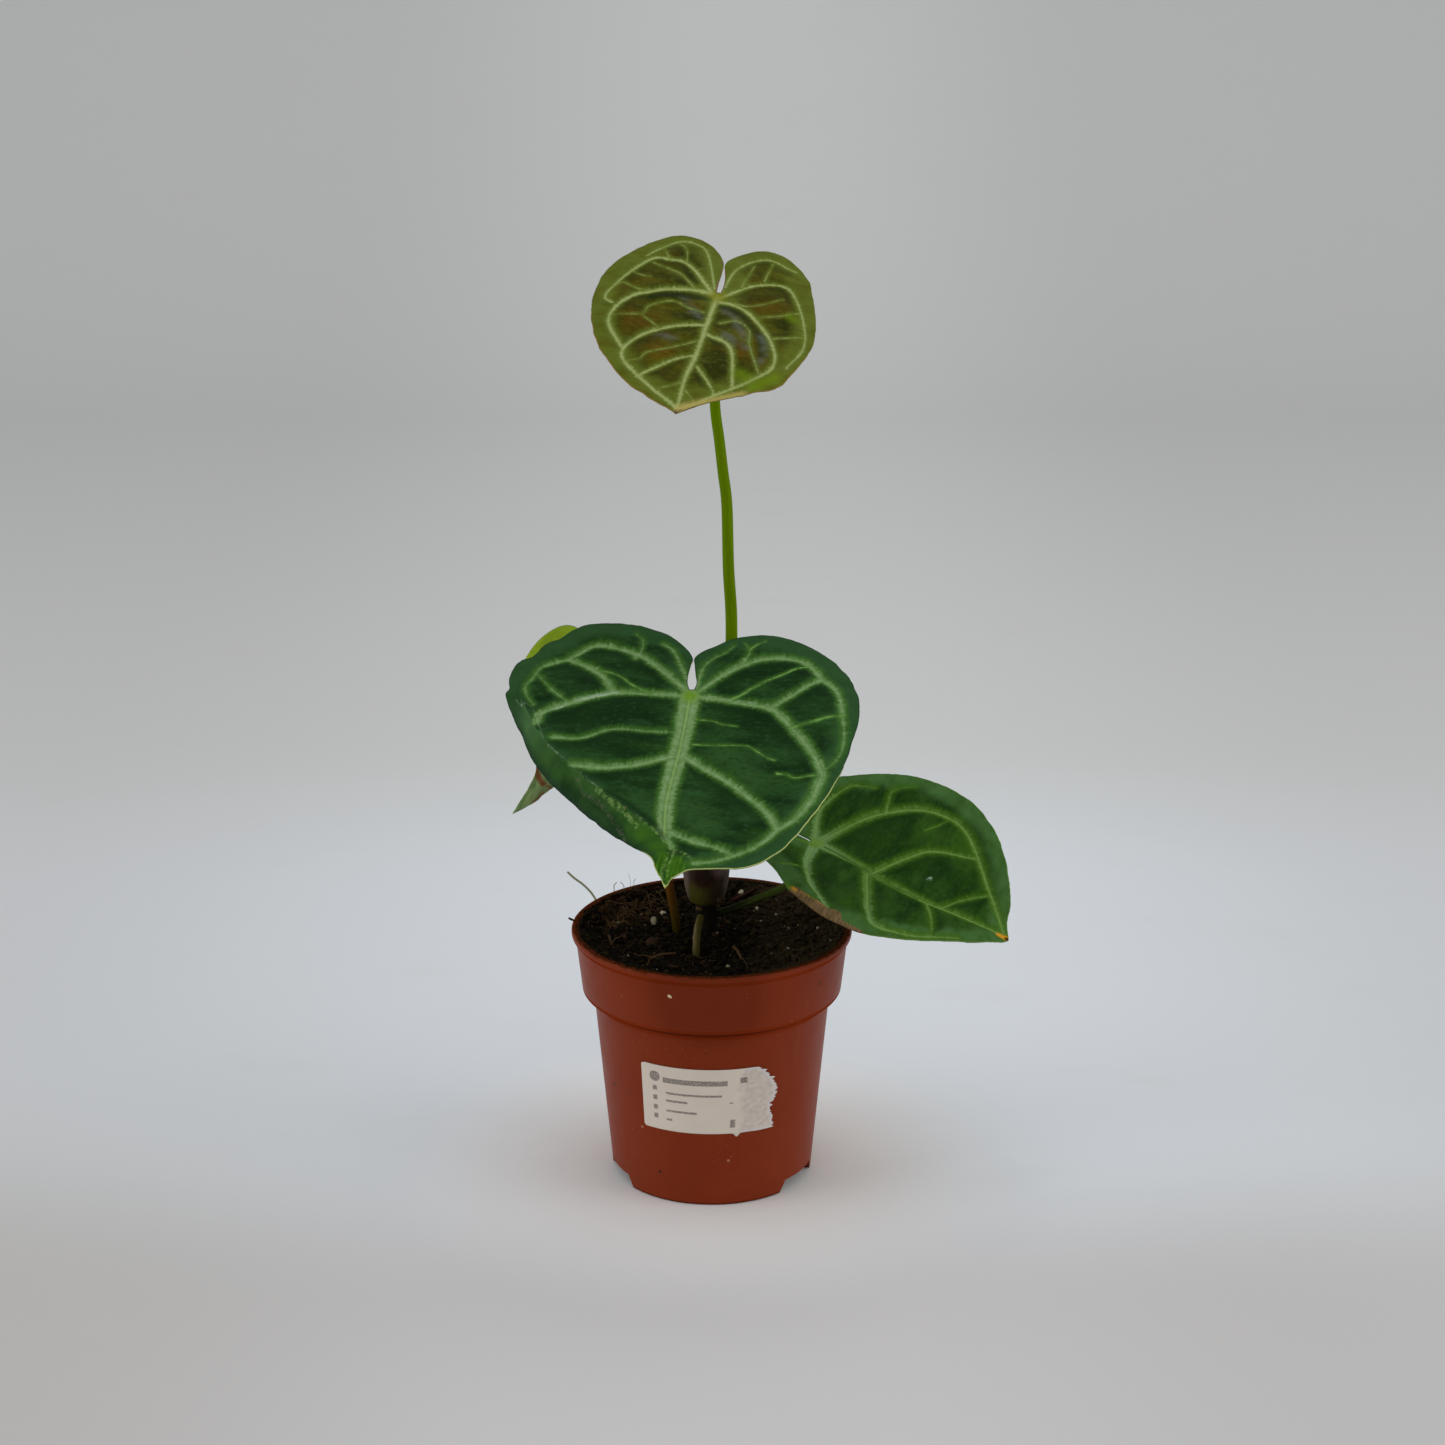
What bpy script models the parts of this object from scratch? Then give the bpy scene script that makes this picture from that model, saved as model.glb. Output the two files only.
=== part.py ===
"""Potted silver blush anthurium: a plastic nursery pot with a paper label, soil, a short stem in its
papery sheath, an aerial root and four heart-shaped leaves on their stalks.

Z = 0 is the surface that the pot stands on, the pot's axis is X = Y = 0, and +Y points to the back.
Leaf outlines and veins are given in millimetres on the blade: u across it, v from the stalk to the tip.
"""

import math

import bmesh
import bpy
import numpy as np
from mathutils import Vector, geometry

MM = 0.001
GAP = 0.3 * MM

# Pot, a common 12 cm nursery size
POT_HEIGHT = 110.7 * MM
RIM_RADIUS = 60.0 * MM
LIP_HEIGHT = 2.4 * MM
EDGE_ROUNDING = 0.6 * MM
BAND_TOP_RADIUS = 57.8 * MM
BAND_FOOT_RADIUS = 55.2 * MM
BAND_FOOT_Z = 80.3 * MM
SHELF_HEIGHT = 4.5 * MM
BODY_TOP_RADIUS = 48.8 * MM
BASE_RADIUS = 41.5 * MM
WALL = 1.2 * MM
FLOOR_Z = 3.5 * MM
FOOT_WIDTH = 2.2 * MM
PAD_RADIUS = 9.0 * MM
POT_SIDES = 48

# Openings in the foot and the floor
NOTCH_ANGLES = (-62, 56, 177)
NOTCH_WIDTH = 17.0 * MM
NOTCH_TOP_SHARE = 0.72
NOTCH_DEPTH = 9.6 * MM
NOTCH_HEIGHT = 5.5 * MM
DRAIN_COUNT = 6
DRAIN_RADIUS = 3.5 * MM
DRAIN_CIRCLE = 28.0 * MM
DRAIN_START = math.radians(20)
CUTTER_OVERRUN = 2.0 * MM

# Paper label, laid round the front of the pot: angles in degrees from the front, heights in mm
LABEL_THICKNESS = 0.3 * MM
LABEL_LEFT = -38.0
LABEL_FOOT_Z = 34.2
LABEL_TOP_Z = 64.7
LABEL_TORN_EDGE = ((35, 34.4), (34.5, 37), (32, 44.5), (35, 48.5), (36, 53), (31, 60), (25, 64.7))
LABEL_CORNER = 0.8
LABEL_COLUMNS = range(-35, 33, 3)
LABEL_ROWS = (42, 49, 56)

# Soil
SOIL_Z = 105.0 * MM
SOIL_LUMP = 1.3 * MM
SOIL_CLEARANCE = 0.5 * MM
SOIL_RINGS = 12
HOLE_HEIGHT = 16.0 * MM
STALK_HOLE_CLEARANCE = 0.6 * MM
ROOT_HOLE_CLEARANCE = 1.0 * MM

# Stem and its sheath
STEM_AXIS = (-2.4 * MM, 5.0 * MM)
STEM_PROFILE = ((5.2, 96), (5.3, 104), (4.9, 110), (4.6, 115), (4.7, 118), (5.0, 120.5), (6.0, 126))
STEM_FOOT_Z = STEM_PROFILE[0][1] * MM
STEM_TOP_Z = STEM_PROFILE[-1][1] * MM
STEM_HOLE_RADIUS = 5.3 * MM + GAP
SHEATH_PROFILE = ((6.0, 120.5), (7.0, 123), (8.3, 127), (9.5, 132), (9.9, 138), (9.6, 143))
SHEATH_THICKNESS = 0.7 * MM
SHEATH_STEP = 3.5
SHEATH_TEAR = 2.6
STEM_SIDES = 24

# Leaf blades
BLADE_THICKNESS = 0.8 * MM
RIB_THICKNESS = 1.7 * MM
VEIN_DIP = 0.7
RIPPLE_HEIGHT = 0.7
KEEL_ROUND = 6.0
CALM_RADIUS = 20.0

# Spacing of the points that a blade is meshed from, in mm
OUTLINE_STEP = 4.5
VEIN_STEP = 5.3
VEIN_SPACING = 2.2
RIB_HALF_WIDTH = 2.1
RIB_SPACING = 1.7
FILL_STEP = 6.8
FILL_SPACING = 4.2
EDGE_SPACING = 1.2

# Each vein is (half width of its pale band, points), in mm. Each half of an outline runs from the notch
# at the stalk round to the tip. A curl is (bearing from the tip, half its spread, width, drop).
LEAVES = {
    "main": {
        "attach": (-8.6, -25.0, 220.9), "azimuth": -9, "pitch": 27, "roll": 0,
        "keel": 0.04, "bow": -0.0005, "back_bow": -0.0008, "side_bow": -0.0004,
        "tip": (88, -0.012), "curls": ((-46, 64, 12, -13), (90, 60, 14, -2)), "ripple": 1,
        "left": ((-1, -3), (-2, -11), (-3, -20), (-7, -29), (-17, -38), (-31, -42), (-46, -43),
                 (-57, -34), (-65, -25), (-75, -17), (-77, -5), (-76, 5), (-69, 18), (-59, 34),
                 (-43, 50), (-25, 68), (-13, 78), (-5, 83), (-1, 90), (4, 99)),
        "right": ((1, -3), (1.5, -11), (1, -20), (2, -27), (6, -32), (12, -36), (23, -39), (37, -37),
                  (48, -32), (59, -22), (66, -12), (70, 2), (69, 20), (66, 40), (59, 60), (50, 77),
                  (44, 84), (35, 90), (24, 91), (14, 92), (8, 95), (4, 99)),
        "veins": (
            (3.6, ((0, 0), (0, 31), (-1, 57), (0, 71), (2, 80), (4, 97))),
            (2.6, ((-2, 0), (-31, 0), (-47, 7), (-60, 15), (-62, 20))),
            (2.4, ((-1, -2), (-24, -23), (-36, -27), (-46, -28), (-54, -18), (-63, -13), (-68, 3))),
            (1.2, ((-1, -4), (-5, -15), (-11, -27), (-16, -31))),
            (2.0, ((-32, 0), (-38, -9), (-45, -14), (-54, -18))),
            (2.4, ((2, 0), (24, 3), (34, 5), (50, 24), (58, 36), (58, 45), (51, 65), (45, 70))),
            (2.0, ((45, 70), (35, 81), (22, 88), (14, 89))),
            (2.2, ((3, -3), (21, -22), (32, -25), (42, -24), (60, -6), (65, 15), (62, 33))),
            (1.8, ((34, 5), (46, -7), (53, -13))),
            (2.6, ((3, 34), (26, 50), (36, 58), (44, 70))),
            (2.0, ((2, 73), (13, 78), (29, 84))),
            (1.6, ((-3, 20), (-30, 22), (-53, 27))),
            (2.4, ((-2, 34), (-14, 39), (-27, 42), (-42, 42))),
        ),
    },
    "top": {
        "attach": (2.5, 10.0, 379.4), "azimuth": -16, "pitch": 30, "roll": -12,
        "keel": 0.0, "bow": -0.0008, "back_bow": -0.001, "side_bow": -0.0006,
        "tip": (60, -0.01), "curls": ((-75, 70, 12, -2.5),), "ripple": 2,
        "left": ((-1, -3), (-1.5, -10), (-2, -19), (-5, -27), (-12, -32), (-22, -34), (-31, -29),
                 (-42, -17), (-48, -4), (-49, 9), (-46, 25), (-39, 39), (-27, 53), (-15, 61), (0, 67)),
        "right": ((1, -3), (1.5, -10), (1.5, -20), (4, -28), (10, -33), (17, -34), (25, -31), (33, -22),
                  (38, -9), (42, 4), (43, 18), (39, 33), (35, 43), (27, 48), (14, 56), (5, 63), (0, 67)),
        "veins": (
            (1.4, ((0, 0), (0, 34), (-1, 48), (0, 66))),
            (1.0, ((-2, -1), (-19, 1), (-34, 10), (-39, 24), (-30, 38))),
            (1.0, ((-3, -2), (-16, -16), (-32, -15), (-41, 1), (-44, 11), (-40, 15))),
            (0.9, ((-2, -4), (-10, -25), (-16, -30), (-24, -29), (-34, -17))),
            (1.0, ((-1, 18), (-14, 22), (-26, 33), (-28, 44), (-14, 56), (-1, 64))),
            (1.0, ((-1, 35), (-9, 41), (-19, 52))),
            (1.0, ((2, 3), (16, 7), (27, 19), (30, 34), (13, 53), (1, 65))),
            (1.0, ((1, 1), (13, -12), (25, -15), (34, -3), (40, 16), (36, 31))),
            (0.9, ((1, -3), (4, -20), (14, -29), (27, -26))),
            (1.0, ((2, 23), (12, 27), (18, 47))),
            (0.9, ((5, 15), (17, 15), (26, 37))),
            (0.9, ((2, 41), (10, 50), (12, 54))),
        ),
    },
    "right": {
        "attach": (44.5, 0.0, 148.1), "azimuth": 69, "pitch": 17, "roll": 11,
        "keel": 0.21, "bow": -0.0005, "back_bow": -0.0006, "side_bow": -0.0003,
        "tip": (80, -0.01), "curls": ((-62, 46, 7, -3),), "ripple": 3,
        "left": ((-1, -3), (-2, -13), (-7, -24), (-16, -29), (-26, -23), (-34, -8), (-46, 6), (-52, 20),
                 (-53, 30), (-50, 43), (-45, 54), (-33, 67), (-20, 79), (-8, 88), (-1, 91)),
        "right": ((1, -3), (2, -13), (6, -23), (14, -29), (25, -28), (35, -18), (43, -7), (52, 4),
                  (60, 19), (63, 34), (60, 49), (51, 62), (38, 73), (20, 83), (7, 87), (-1, 91)),
        "veins": (
            (1.9, ((0, 0), (-2, 20), (-5, 38), (-6, 49), (-3, 76), (-1, 89))),
            (1.5, ((2, 1), (25, 11), (42, 27), (47, 45), (39, 57), (26, 68), (1, 88))),
            (1.2, ((3, -2), (20, -7), (38, -3), (43, 3))),
            (1.2, ((-3, 0), (-19, 3), (-33, 10), (-44, 19))),
            (1.2, ((1, 29), (17, 38), (24, 44), (32, 61))),
            (1.2, ((-5, 26), (-22, 32), (-37, 38), (-44, 44), (-38, 58))),
            (1.1, ((-1, 62), (5, 65), (16, 74))),
            (1.1, ((-6, 54), (-15, 59), (-28, 64))),
            (1.1, ((35, 18), (43, 17), (52, 18))),
        ),
    },
    "back": {
        "attach": (-55.5, 54.0, 203.0), "azimuth": -126, "pitch": 67, "roll": 38,
        "keel": 0.08, "bow": 0.0003, "back_bow": 0.0, "side_bow": 0.0,
        "tip": (50, 0.002), "curls": (), "ripple": 4,
        "left": ((-1, -3), (-1.5, -10), (-5, -17), (-12, -20), (-20, -18), (-27, -11), (-30, 0), (-28, 10),
                 (-25, 21), (-19, 33), (-13, 43), (-8, 51), (-4, 56), (-0.5, 61), (2, 66), (6, 71), (10, 76)),
        "right": ((1, -3), (1.5, -12), (5, -22), (12, -26.5), (19, -25.5), (26, -17), (29, -5), (27, 6),
                  (22, 20), (16, 33), (10, 43), (7, 51), (8, 60), (9.5, 69), (10, 76)),
        "veins": (
            (1.6, ((0, 0), (0, 35), (2, 52), (9, 74))),
            (1.2, ((-2, 0), (-14, 4), (-22, 13), (-18, 28), (-9, 42))),
            (1.2, ((2, 0), (14, 4), (22, 12), (16, 28), (8, 43))),
            (1.2, ((-2, -3), (-11, -11), (-22, -5))),
            (1.2, ((2, -3), (10, -15), (22, -9))),
            (1.0, ((-1, 22), (-11, 31))),
            (1.0, ((1, 22), (10, 31))),
        ),
    },
}

# Stalks: points in mm from the foot to the blade, foot and top radius in mm. The last stretch is added
# square to the blade.
STALK_LEAD = 7.0
STALK_STEP = 7.0
ROOT_STEP = 2.5
STALKS = {
    "main": (((-5.4, 3.4, 126.4), (-5.7, 2.9, 138), (-6.6, 0.5, 155), (-8.3, -6, 182)), 2.7, 2.2),
    "top": (((0.6, 6.6, 126.4), (0.9, 7.0, 138), (4, 11, 158), (7.0, 15, 185), (8.4, 15.5, 237),
             (7.1, 15, 265), (6.4, 14.5, 292), (4.8, 14, 306), (3.2, 14, 320), (1.6, 14, 333),
             (1.2, 14, 352)), 2.9, 2.0),
    "right": (((3.2, 5.4, 114), (10.8, 3, 118), (20, 0.5, 123), (30, -0.5, 128), (38.5, 0, 135)), 1.6, 1.5),
    "back": (((-15, 9, 96), (-15, 9, 104), (-16, 10.5, 112), (-18.5, 14, 124), (-24, 23, 150),
              (-34, 34, 178)), 2.0, 1.7),
}
ROOT = ((-4.6, -0.6, 115), (-5.4, -4, 113.5), (-6.2, -9, 111), (-6.5, -13.5, 107.5), (-6.5, -15.5, 103),
        (-6.5, -15.8, 100), (-6.5, -15.8, 96))
ROOT_RADIUS = 1.6

COLORS = {
    "pot": (0.30, 0.060, 0.022, 0.42),
    "label": (0.72, 0.70, 0.66, 0.7),
    "soil": (0.025, 0.016, 0.011, 0.95),
    "stem": (0.10, 0.055, 0.02, 0.7),
    "sheath": (0.13, 0.06, 0.03, 0.6),
    "aerial_root": (0.20, 0.17, 0.06, 0.7),
    "stalk": (0.13, 0.24, 0.01, 0.45),
    "leaf_main": (0.012, 0.065, 0.018, 0.4),
    "leaf_top": (0.08, 0.10, 0.010, 0.32),
    "leaf_right": (0.012, 0.075, 0.014, 0.4),
    "leaf_back": (0.16, 0.28, 0.03, 0.5),
}


def clear_scene():
    for obj in list(bpy.data.objects):
        bpy.data.objects.remove(obj, do_unlink=True)


def collection(name):
    made = bpy.data.collections.new(name)
    bpy.context.scene.collection.children.link(made)
    return made


def material(name):
    red, green, blue, roughness = COLORS[name]
    made = bpy.data.materials.new(name)
    made.use_nodes = True
    shader = made.node_tree.nodes["Principled BSDF"]
    shader.inputs["Base Color"].default_value = (red, green, blue, 1)
    shader.inputs["Roughness"].default_value = roughness
    return made


def add_object(name, data, color, where):
    data.materials.append(material(color))
    obj = bpy.data.objects.new(name, data)
    where.objects.link(obj)
    return obj


def mesh_from(name, points, faces, smooth=True):
    mesh = bpy.data.meshes.new(name)
    mesh.from_pydata([tuple(map(float, p)) for p in points], [], [tuple(map(int, f)) for f in faces])
    mesh.validate()
    if smooth:
        mesh.shade_smooth()
    return mesh


def subtract(obj, cutter):
    cut = obj.modifiers.new("cut_" + cutter.name, "BOOLEAN")
    cut.operation = "DIFFERENCE"
    cut.object = cutter


def make_cutter(name, mesh, where):
    cutter = bpy.data.objects.new(name, mesh)
    cutter.hide_render = True
    cutter.display_type = "WIRE"
    where.objects.link(cutter)
    return cutter


def cylinder_mesh(name, radius, height, sides=24):
    """An upright cylinder whose foot is at the origin."""
    mesh = bpy.data.meshes.new(name)
    shape = bmesh.new()
    bmesh.ops.create_cone(shape, cap_ends=True, segments=sides, radius1=radius, radius2=radius, depth=height)
    bmesh.ops.translate(shape, verts=shape.verts, vec=(0, 0, height / 2))
    shape.to_mesh(mesh)
    shape.free()
    return mesh


def turned(name, profile, sides, color, where):
    """A profile of (radius, height) in metres, turned about the object's Z axis."""
    mesh = bpy.data.meshes.new(name)
    edges = [(i, i + 1) for i in range(len(profile) - 1)]
    mesh.from_pydata([(r, 0, z) for r, z in profile], edges, [])
    obj = add_object(name, mesh, color, where)
    screw = obj.modifiers.new("turn", "SCREW")
    screw.axis = "Z"
    screw.steps = screw.render_steps = sides
    screw.use_merge_vertices = True
    screw.merge_threshold = 1e-6
    screw.use_smooth_shade = True
    return obj


def smooth_path(points, step):
    """Points about a step apart on a smooth curve through the given ones."""
    given = np.array(points, float)
    padded = np.vstack([2 * given[0] - given[1], given, 2 * given[-1] - given[-2]])
    found = []
    for before, start, end, after in zip(padded, padded[1:], padded[2:], padded[3:]):
        count = max(1, round(float(np.linalg.norm(end - start)) / step))
        t = (np.arange(count) / count)[:, None]
        found.append(
            0.5 * (2 * start + (end - before) * t
                   + (2 * before - 5 * start + 4 * end - after) * t ** 2
                   + (3 * start - before - 3 * end + after) * t ** 3)
        )
    return np.vstack(found + [given[-1:]])


def body_radius(z):
    return BASE_RADIUS + (BODY_TOP_RADIUS - BASE_RADIUS) * z / BAND_FOOT_Z


def inner_radius(z):
    """The inside of the pot's wall, under the band and inside it."""
    if z < BAND_FOOT_Z:
        return body_radius(z) - WALL
    inside_foot = BAND_FOOT_RADIUS - WALL
    return inside_foot + (BAND_TOP_RADIUS - BAND_FOOT_RADIUS) * (z - BAND_FOOT_Z) / (POT_HEIGHT - BAND_FOOT_Z)


def pot_profile():
    """Down the inside from the middle of the floor, over the rim and down the outside to the foot."""
    edge = EDGE_ROUNDING
    top = POT_HEIGHT
    lip_foot = top - LIP_HEIGHT
    floor_top = FLOOR_Z + WALL
    shelf_z = BAND_FOOT_Z + SHELF_HEIGHT
    inside = [
        (0, floor_top),
        (inner_radius(floor_top) - 3 * edge, floor_top),
        (inner_radius(floor_top), floor_top + 3 * edge),
        (body_radius(BAND_FOOT_Z) - WALL, BAND_FOOT_Z + WALL),
        (inner_radius(shelf_z) - 2 * edge, shelf_z - edge),
        (inner_radius(shelf_z), shelf_z + 2 * edge),
        (inner_radius(top), top - edge),
        (inner_radius(top) + edge, top),
    ]
    outside = [
        (RIM_RADIUS - edge, top),
        (RIM_RADIUS, top - edge),
        (RIM_RADIUS, lip_foot + edge),
        (BAND_TOP_RADIUS + edge, lip_foot),
        (BAND_TOP_RADIUS, lip_foot - edge),
        (BAND_FOOT_RADIUS, shelf_z),
        (BAND_FOOT_RADIUS - edge, BAND_FOOT_Z + 3 * edge),
        (BAND_FOOT_RADIUS - 5 * edge, BAND_FOOT_Z),
        (BODY_TOP_RADIUS + edge, BAND_FOOT_Z - edge),
        (body_radius(BAND_FOOT_Z - 3 * edge), BAND_FOOT_Z - 3 * edge),
        (body_radius(edge), edge),
        (BASE_RADIUS - edge, 0),
        (BASE_RADIUS - FOOT_WIDTH, 0),
        (BASE_RADIUS - FOOT_WIDTH - edge, FLOOR_Z),
        (PAD_RADIUS + edge, FLOOR_Z),
        (PAD_RADIUS, 0),
        (0, 0),
    ]
    return inside + outside


def notch_mesh():
    """A wedge that is narrower at its top, reaching through the wall at the front of the foot."""
    mesh = bpy.data.meshes.new("notch")
    shape = bmesh.new()
    bmesh.ops.create_cube(shape, size=1)
    for vert in shape.verts:
        upper, outer = vert.co.z > 0, vert.co.y < 0
        width = NOTCH_WIDTH * (NOTCH_TOP_SHARE if upper else 1)
        reach = BASE_RADIUS + CUTTER_OVERRUN if outer else BASE_RADIUS - NOTCH_DEPTH
        vert.co = (vert.co.x * width, -reach, NOTCH_HEIGHT if upper else -CUTTER_OVERRUN)
    bmesh.ops.recalc_face_normals(shape, faces=shape.faces)
    shape.to_mesh(mesh)
    shape.free()
    return mesh


def make_pot(parts, cutters):
    pot = turned("pot", pot_profile(), POT_SIDES, "pot", parts)
    notch = notch_mesh()
    for number, angle in enumerate(NOTCH_ANGLES):
        cutter = make_cutter(f"notch_{number}", notch, cutters)
        cutter.rotation_euler.z = math.radians(angle)
        subtract(pot, cutter)
    drain = cylinder_mesh("drain", DRAIN_RADIUS, FLOOR_Z + WALL + CUTTER_OVERRUN, sides=16)
    for number in range(DRAIN_COUNT):
        turn = math.tau * number / DRAIN_COUNT + DRAIN_START
        cutter = make_cutter(f"drain_{number}", drain, cutters)
        cutter.location = (DRAIN_CIRCLE * math.cos(turn), DRAIN_CIRCLE * math.sin(turn), 0)
        subtract(pot, cutter)
    return pot


def make_label(parts):
    """A sheet cut to its outline in (angle, height), then wrapped round the pot."""
    torn_top, torn_foot = LABEL_TORN_EDGE[-1][0], LABEL_TORN_EDGE[0][0]
    lower = [(angle, LABEL_FOOT_Z) for angle in LABEL_COLUMNS if angle < torn_foot - 1]
    upper = [(angle, LABEL_TOP_Z) for angle in LABEL_COLUMNS if angle < torn_top - 1][::-1]
    left = [(LABEL_LEFT, LABEL_TOP_Z - LABEL_CORNER), (LABEL_LEFT, LABEL_FOOT_Z + LABEL_CORNER)]
    torn = [tuple(point) for point in smooth_path(LABEL_TORN_EDGE, LABEL_COLUMNS.step)]
    outline = np.array(lower + torn + upper + left)
    grid = np.array([(angle, z) for angle in LABEL_COLUMNS for z in LABEL_ROWS], float)
    flat, faces = triangulate(outline, clear_of_edge(grid, outline))
    angle = np.radians(flat[:, 0])
    height = flat[:, 1] * MM
    radius = body_radius(height) + GAP + LABEL_THICKNESS
    points = np.stack([radius * np.sin(angle), -radius * np.cos(angle), height], -1)
    label = add_object("label", mesh_from("label", points, faces), "label", parts)
    add_thickness(label, LABEL_THICKNESS)
    return label


def add_thickness(obj, thickness):
    solid = obj.modifiers.new("thickness", "SOLIDIFY")
    solid.thickness = thickness
    solid.offset = -1
    return solid


def soil_height(x, y):
    """Crumbly soil: low waves of several lengths, a dip in front of the stem, and a level edge."""
    waves = (
        np.sin(x / 0.0093 + 1.0) * np.sin(y / 0.0081 + 0.4)
        + 0.6 * np.sin((x + 0.7 * y) / 0.0047 + 2.1)
        + 0.5 * np.sin((y - 0.6 * x) / 0.0038 + 0.9)
    )
    dip = np.exp(-((x + 0.006) ** 2 + (y + 0.018) ** 2) / 0.012 ** 2)
    return SOIL_Z + SOIL_LUMP * (0.5 * waves - 1.3 * dip)


def make_soil(parts, cutters):
    """Rings from the middle out, then down the inside of the pot to its floor."""
    foot_z = FLOOR_Z + WALL + GAP
    middle_z = (SOIL_Z + BAND_FOOT_Z) / 2
    edge = inner_radius(SOIL_Z) - SOIL_CLEARANCE
    surface = [edge * k / SOIL_RINGS for k in range(1, SOIL_RINGS + 1)]
    below = [
        (inner_radius(middle_z) - SOIL_CLEARANCE, middle_z),
        (body_radius(BAND_FOOT_Z) - WALL - 1.5 * SOIL_CLEARANCE, BAND_FOOT_Z),
        (inner_radius(2 * foot_z) - SOIL_CLEARANCE, 2 * foot_z),
        (inner_radius(foot_z) - 6 * EDGE_ROUNDING, foot_z),
    ]
    turns = [math.tau * side / POT_SIDES for side in range(POT_SIDES)]
    points = [(0, 0, float(soil_height(0.0, 0.0)))]
    for r in surface:
        for turn in turns:
            x, y = r * math.cos(turn), r * math.sin(turn)
            points.append((x, y, float(soil_height(x, y))))
    points += [(r * math.cos(turn), r * math.sin(turn), z) for r, z in below for turn in turns]
    points.append((0, 0, foot_z))
    ring_starts = range(1, len(points) - 1, POT_SIDES)
    faces = []
    for side in range(POT_SIDES):
        following = (side + 1) % POT_SIDES
        faces.append((0, 1 + side, 1 + following))
        for a, b in zip(ring_starts, ring_starts[1:]):
            faces.append((a + side, b + side, b + following))
            faces.append((a + side, b + following, a + following))
        faces.append((ring_starts[-1] + side, len(points) - 1, ring_starts[-1] + following))
    soil = add_object("soil", mesh_from("soil", points, faces), "soil", parts)
    stalk_foot, root_foot = STALKS["back"][0][0], ROOT[-1]
    holes = (
        ("stem", STEM_AXIS[0], STEM_AXIS[1], STEM_FOOT_Z, STEM_HOLE_RADIUS),
        ("stalk", *(value * MM for value in stalk_foot), STALKS["back"][1] * MM + STALK_HOLE_CLEARANCE),
        ("root", *(value * MM for value in root_foot), ROOT_RADIUS * MM + ROOT_HOLE_CLEARANCE),
    )
    for name, x, y, z, radius in holes:
        cutter = make_cutter("hole_" + name, cylinder_mesh("hole_" + name, radius, HOLE_HEIGHT), cutters)
        cutter.location = (x, y, z - GAP)
        subtract(soil, cutter)
    return soil


def make_stem(parts):
    profile = [(0, STEM_TOP_Z)] + [(r * MM, z * MM) for r, z in STEM_PROFILE[::-1]] + [(0, STEM_FOOT_Z)]
    stem = turned("stem", profile, STEM_SIDES, "stem", parts)
    stem.location = (*STEM_AXIS, 0)
    return stem


def make_sheath(parts):
    """A papery cup round the stem's top, torn into a few points along its rim."""
    rings = smooth_path(SHEATH_PROFILE, SHEATH_STEP)
    points, faces = [], []
    for r, z in rings:
        share = (z - rings[0][1]) / (rings[-1][1] - rings[0][1])
        for side in range(STEM_SIDES):
            turn = math.tau * side / STEM_SIDES
            torn = SHEATH_TEAR * share ** 3 * (math.sin(2 * turn + 0.6) + 0.4 * math.sin(5 * turn))
            wide = 1 + 0.06 * share * math.cos(2 * turn)
            points.append((r * wide * MM * math.cos(turn), r * MM * math.sin(turn), (z + torn) * MM))
    for k in range(len(rings) - 1):
        for side in range(STEM_SIDES):
            a = k * STEM_SIDES
            following = (side + 1) % STEM_SIDES
            b = a + STEM_SIDES
            faces.append((a + side, a + following, b + following))
            faces.append((a + side, b + following, b + side))
    sheath = add_object("sheath", mesh_from("sheath", points, faces), "sheath", parts)
    sheath.location = (*STEM_AXIS, 0)
    add_thickness(sheath, SHEATH_THICKNESS)
    return sheath


def make_tube(name, points, radii, color, where):
    """A round stalk through the points, with a radius at each, in mm."""
    curve = bpy.data.curves.new(name, "CURVE")
    curve.dimensions = "3D"
    curve.bevel_depth = MM
    curve.bevel_resolution = 3
    curve.use_fill_caps = True
    line = curve.splines.new("POLY")
    line.points.add(len(points) - 1)
    for point, place, radius in zip(line.points, points, radii):
        point.co = (*(place * MM), 1)
        point.radius = radius
    return add_object(name, curve, color, where)


def leaf_axes(leaf):
    """Across the blade, along it to the tip, and out of its upper face."""
    azimuth, pitch, roll = (math.radians(leaf[key]) for key in ("azimuth", "pitch", "roll"))
    along = np.array([
        math.sin(azimuth) * math.cos(pitch), -math.cos(azimuth) * math.cos(pitch), -math.sin(pitch)
    ])
    level = np.array([math.cos(azimuth), math.sin(azimuth), 0.0])
    across = math.cos(roll) * level + math.sin(roll) * np.cross(along, level)
    return across, along, np.cross(along, across)


def distance_to_path(points, path):
    """The shortest distance from each point to a path, both flat."""
    best = np.full(len(points), np.inf)
    for start, end in zip(path, path[1:]):
        side = end - start
        share = np.clip(((points - start) @ side) / max(side @ side, 1e-9), 0, 1)
        best = np.minimum(best, np.linalg.norm(points - start - share[:, None] * side, axis=1))
    return best


def ripple(flat, seed):
    """Gentle uneven waves over a blade, between about -1 and 1."""
    u, v = flat[:, 0], flat[:, 1]
    return (
        np.sin(u / 8.3 + 1.7 * seed) * np.cos(v / 9.1 + 0.6 * seed)
        + 0.6 * np.sin((u + v) / 5.6 + 2.3 * seed)
        + 0.4 * np.sin((u - 1.4 * v) / 4.7 + seed)
    ) / 2


def leaf_outline(leaf, step):
    """The closed edge of the blade, in order."""
    left = smooth_path(leaf["left"], step)
    right = smooth_path(leaf["right"], step)
    return np.vstack([left, right[-2::-1]])


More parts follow.
